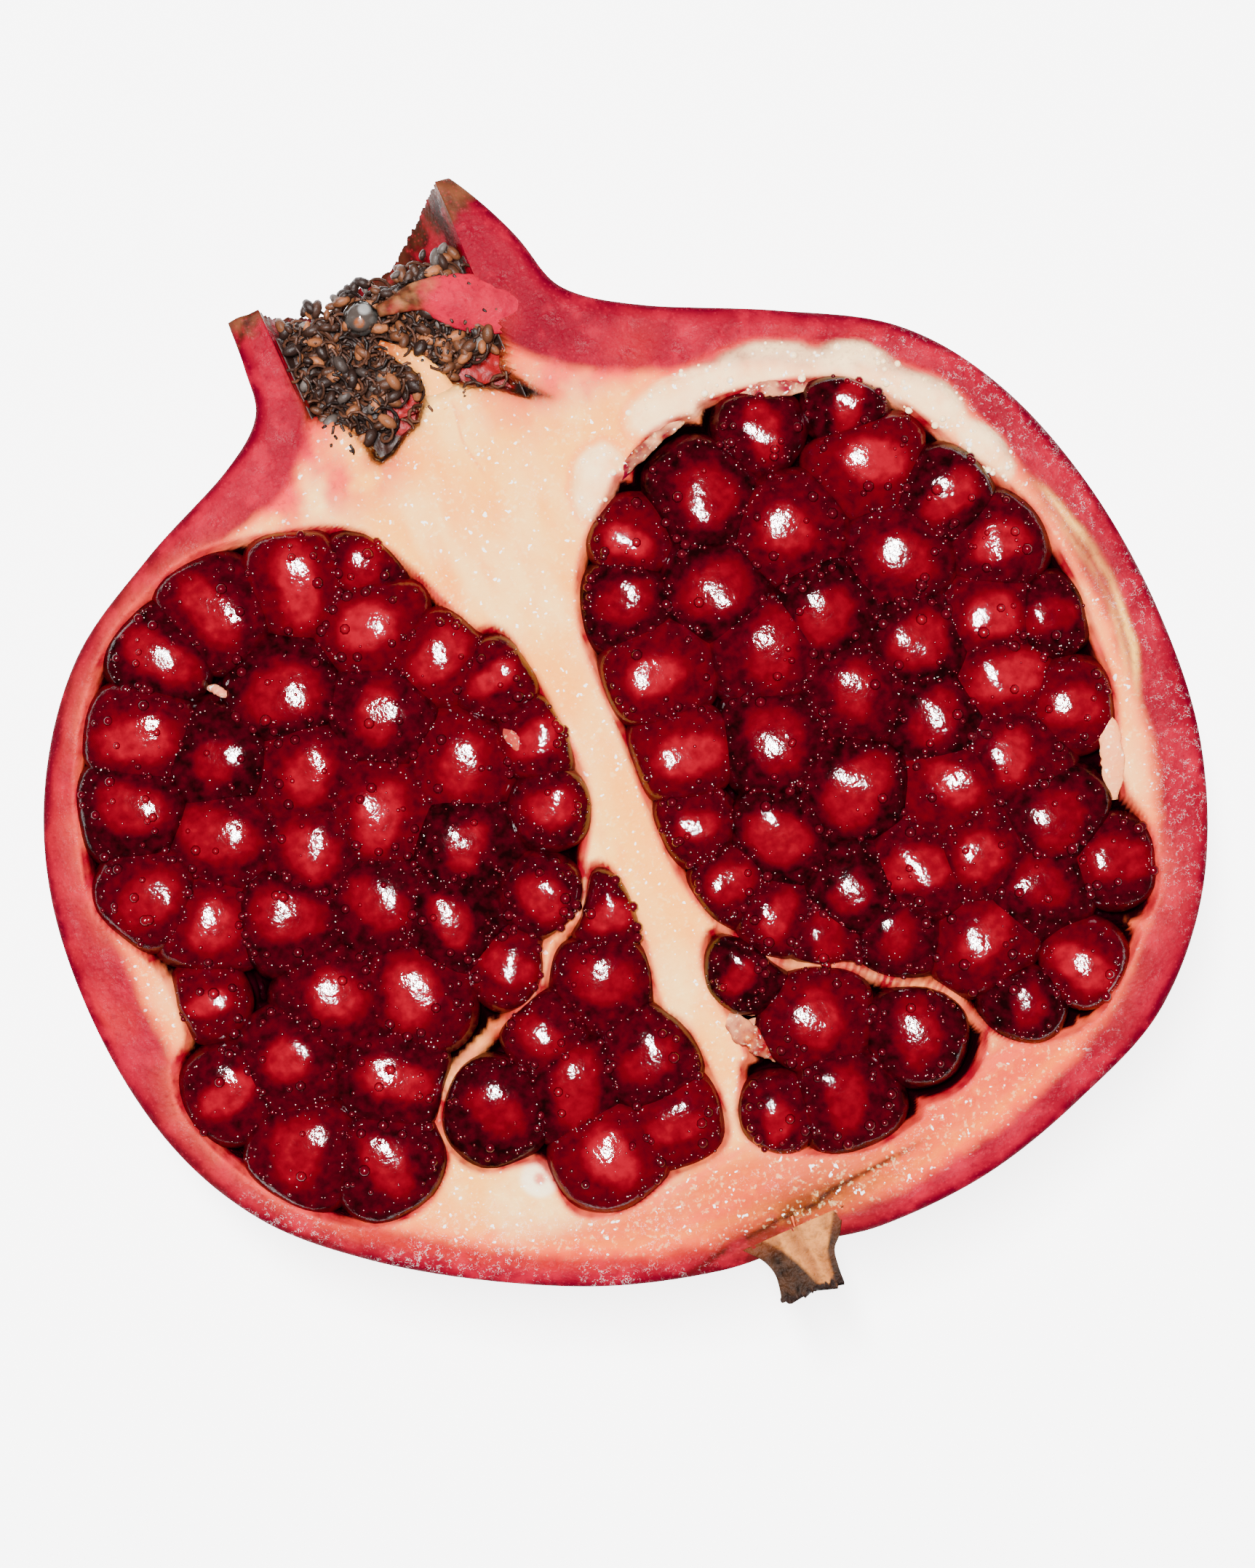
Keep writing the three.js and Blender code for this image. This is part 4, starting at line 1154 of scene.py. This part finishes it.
# threads: a spine that curls and rises, with a tapering round section
def stamenThreads(heap):
    n, steps, sides = (stamenLook[key] for key in ("threads", "steps", "sides"))
    draw = lambda j: drawn(np.arange(n), j, 71)
    x, y = besideStyle(cup["middle"] + stamenHalf * (2 * draw(1) - 1),
                       stamenLook["floor"] + 1 + (stamenLength - 3) * draw(2))
    x, y, turn, size = x[:, None], y[:, None], 2 * np.pi * draw(3)[:, None], 0.5 + 0.8 * draw(4)[:, None]
    t = np.linspace(0, 1, steps)
    bend = turn + (3.5 + 3.5 * draw(5))[:, None] * t
    px = x + size * (np.cos(bend) - np.cos(turn)) * 0.8
    py = y + size * (np.sin(bend) - np.sin(turn)) * 0.8 + 0.8 * t
    pz = -3.0 + (2.4 + 1.2 * draw(6))[:, None] * t
    spine = np.stack([px, py, pz], -1)
    d = unitOf(np.gradient(spine, axis=1))
    one = unitOf(np.cross(d, [0.3, 0.2, 1.0]))
    two = np.cross(d, one)
    a = np.linspace(0, 2 * np.pi, sides, endpoint=False)[:, None]
    r = stamenLook["threadRadius"] * (1.3 - 0.5 * t)[None, :, None, None]
    ring = spine[:, :, None] + r * (one[:, :, None] * np.cos(a) + two[:, :, None] * -np.sin(a))
    faces, tone = dropFaces(steps, sides), draw(7) ** 1.8
    for k in range(n):
        points = np.concatenate([spine[k, :1], ring[k].reshape(-1, 3), spine[k, -1:]])
        c = toward(colour(20, 9, 6), colour(78, 44, 28), np.full(len(points), tone[k]))
        heap.add(points, faces, paint=c)


# beans: a long drop, bent, leant over and turned
def stamenBeans(heap):
    unit, faces = unitDrop(4, 8), dropFaces(4, 8)
    for k in range(stamenLook["beans"]):
        draw = lambda j: drawn(k, j, 72)
        s = within(stamenLook["beanSize"], draw(1))
        bean = unit * (s, s * 0.75, s * 1.35)
        bean[:, 0] += 0.35 * s * (unit[:, 2] ** 2)
        (ca, sa), (cb, sb) = heading(0.9 + 0.8 * draw(2)), heading(2 * np.pi * draw(3))
        tilt = np.array([[cb * ca, -sb, cb * sa], [sb * ca, cb, sb * sa], [-sa, 0, ca]])
        x, y = besideStyle(cup["middle"] + stamenHalf * (2 * draw(4) - 1),
                           stamenLook["floor"] + 1.5 + (stamenLength - 1.5) * draw(5))
        pale = colour(104, 94, 88) if draw(8) < 0.25 else colour(146, 84, 48)
        # a random lighter tone, more on the bean's top than its underside: the paler top is painted light
        c = toward(colour(30, 15, 10), pale, draw(7) ** 2.6 * (0.8 + 0.4 * unit[:, 2]))
        heap.add(bean @ tilt.T + (float(x), float(y), -2.1 + 2.0 * draw(6)), faces, paint=c)


# bed: a rough top, and the cup's half ellipse under it
def stamenBed(heap):
    u = np.linspace(-1, 1, 90)[None, :]
    w = np.linspace(stamenLook["floor"] - 0.6, stamenLook["end"] - 1.4, 80)[:, None]
    bx, by = cup["middle"] + (cup["radius"] - 0.3) * u + 0 * w, w + 0 * u
    bz = -2.6 + 0.7 * grain(bx, by, 1.6, 73)
    top = np.stack([bx, by, bz], -1)
    low = np.stack([bx, by, bz * 0 - 6.5 * np.sqrt(1 - 0.98 * u ** 2)], -1)
    index = np.arange(bx.size).reshape(bx.shape)
    rim = np.concatenate([index[0, :-1], index[:-1, -1], index[-1, :0:-1], index[:0:-1, 0]])
    rimLow = rim + index.size
    sides = np.stack([rim, rimLow, np.roll(rimLow, -1), np.roll(rim, -1)], -1)
    points = np.concatenate([top.reshape(-1, 3), low.reshape(-1, 3)])
    x, y = points.T[:2]
    c = toward(colour(20, 10, 7), colour(48, 22, 14), 0.5 + 0.5 * grain(x, y, 1.2, 74))
    for (cx, cy), _, (a, b) in stamenLook["bare"]:
        off = np.hypot((x - cx) / a, (y - cy) / b) + 0.25 * grain(x, y, 1.6, 75)
        c = toward(c, colour(124, 2, 10), smoothStep(1.1, 0.8, off))
    heap.add(points, [quadsOf(index), quadsOf(index + index.size, True), sides], paint=c)


stamens = Heap()
stamenThreads(stamens)
stamenBeans(stamens)
stamenBed(stamens)
stamens.piece("stamens_fine", stamen, "stamen", ("stamens",))
print("stamens made")


# Stem stub, cut lengthwise: the flat cut on top, half an ellipse of bark under it

stubLook = {
    "left": [(-7.0, -40.0), (-5.8, -41.5), (-5.3, -43), (-5.5, -44.6), (-5.8, -45.5)],
    "right": [(2.5, -40.0), (1.3, -42), (0.3, -43.1), (0, -44.6), (-0.1, -45.9)],
    # the light wood in the cut, from its left edge to its right one at some distances from the middle
    "wood": ([40, 41.5, 43, 44.6, 45.9], [-5.0, -3.8, -3.0, -2.4, -2.0], [1.6, 0.6, -0.4, -0.7, -0.8]),
    "roundness": 0.9, "rings": 70, "sides": 48,
}


def stemPiece():
    n = stubLook["sides"]
    t = np.linspace(0, 1, stubLook["rings"])
    a, b = along(stubLook["left"], t), along(stubLook["right"], t)
    v = np.linspace(0, np.pi, n)
    flat = np.linspace(-1, 1, n)[1:-1]
    cosines = np.concatenate([np.cos(v), flat])
    depth = np.concatenate([-np.sin(v), 0 * flat])
    half = np.hypot(*(b - a).T)[:, None] / 2
    x, y = np.moveaxis((a + b)[:, None] / 2 + (b - a)[:, None] / 2 * cosines[:, None], -1, 0)
    down = t[:, None] + 0 * cosines
    bark = 1 + 0.06 * grain(down * 9, cosines * 6 + 0 * down, 1.3, 81)
    onCut = (depth == 0) * (abs(cosines) < 0.99)
    lumpy = smoothStep(-0.2, -0.5, cosines) * 0.35 * grain(x, y, 1.1, 84)
    z = half * stubLook["roundness"] * depth * bark
    z = z + (0.1 * grain(x * 3, y * 0.5, 1.2, 82) + lumpy) * onCut
    torn = 0.85 * grain(cosines * 12 + 0 * down, depth * 5 + 0 * down, 1.1, 83)
    ring = np.stack([x, y + smoothStep(0.85, 1, down) * torn, z], -1)
    points = np.concatenate([ring[0].mean(0)[None], ring.reshape(-1, 3), ring[-1].mean(0)[None]])
    x, y = points.T[:2]
    share = np.concatenate([[0], np.repeat(t, len(cosines)), [1]])
    cut = np.concatenate([[0], np.tile(depth > -0.02, len(t)).astype(float), [0]])
    woodLeft, woodRight = (np.interp(-y, stubLook["wood"][0], edge) for edge in stubLook["wood"][1:])
    wood = smoothStep(-0.25, 0.2, x - woodLeft) * smoothStep(-0.2, 0.2, woodRight - x) * cut
    light = toward(colour(186, 116, 56), colour(140, 78, 34), 0.5 + grain(x * 3, y * 0.4, 1.5, 86))
    c = toward(colour(20, 12, 8), colour(66, 40, 25), 0.5 + 0.8 * grain(x, y, 0.9, 85))
    c = coated(toward(c, light, wood), [
        ((90, 40, 14), (1 - wood) * smoothStep(0.35, 0.0, share) * 0.8),
        ((26, 12, 8), smoothStep(0.87, 0.95, share + 0.08 * grain(x, y, 0.7, 87)))])
    addPiece("stem_fine", points, dropFaces(len(t), len(cosines)), stem, {"paint": c}, ("stem",))


stemPiece()
print("stem made")


# Floor, light and camera

# millimetres, degrees, watts
studio = {
    "tilt": 24, "middle": (0.28, 0.63), "pictureHeight": 134.75, "lens": 100, "sensor": 36,
    "keySize": (24, 110), "keyPlace": (0, 50, 500), "keyPower": 10.8, "sky": 0.08,
    "floorHalf": 3000, "floorGlow": 4.2,
}


def show(name, data):
    thing = bpy.data.objects.new(name, data)
    bpy.context.scene.collection.objects.link(thing)
    return thing


def floorPiece():
    s = studio["floorHalf"] * mm
    mesh = bpy.data.meshes.new("floor")
    mesh.from_pydata([(-s, -s, 0), (s, -s, 0), (s, s, 0), (-s, s, 0)], [], [(0, 1, 2, 3)])
    paper = Paint("paper")
    paper.shade = (*colour(246, 246, 246), 1)
    paper.coat(paper.noise(40), (250, 250, 250))
    mesh.materials.append(paper.done(roughness=0.9, specularIorLevel=0.1, emissionColor=(1, 1, 1, 1),
                                     emissionStrength=studio["floorGlow"]))
    show("floor", mesh)


def studioLight():
    world = bpy.data.worlds.new("studio")
    world.use_nodes = True
    sky = world.node_tree.nodes["Background"].inputs
    sky[0].default_value, sky[1].default_value = (1, 1, 1, 1), studio["sky"]
    bpy.context.scene.world = world
    key = bpy.data.lights.new("key", "AREA")
    key.shape = "RECTANGLE"
    key.size, key.size_y = (s * mm for s in studio["keySize"])
    key.energy = studio["keyPower"]
    lamp = show("key", key)
    x, y, z = studio["keyPlace"]
    lamp.location = (x * mm, y * mm, (cutHeight + z) * mm)
    aim = Vector((0, 0, cutHeight * mm)) - lamp.location
    lamp.rotation_euler = aim.to_track_quat("-Z", "Y").to_euler()


def photoCamera():
    data = bpy.data.cameras.new("camera")
    data.lens, data.sensor_width = studio["lens"], studio["sensor"]
    camera = show("camera", data)
    distance = studio["pictureHeight"] * studio["lens"] / studio["sensor"]
    x, y = studio["middle"]
    camera.location = (x * mm, y * mm, (cutHeight + distance) * mm)
    camera.rotation_euler = (0, 0, -math.radians(studio["tilt"]))
    bpy.context.scene.camera = camera


floorPiece()
studioLight()
photoCamera()
print("stage set")
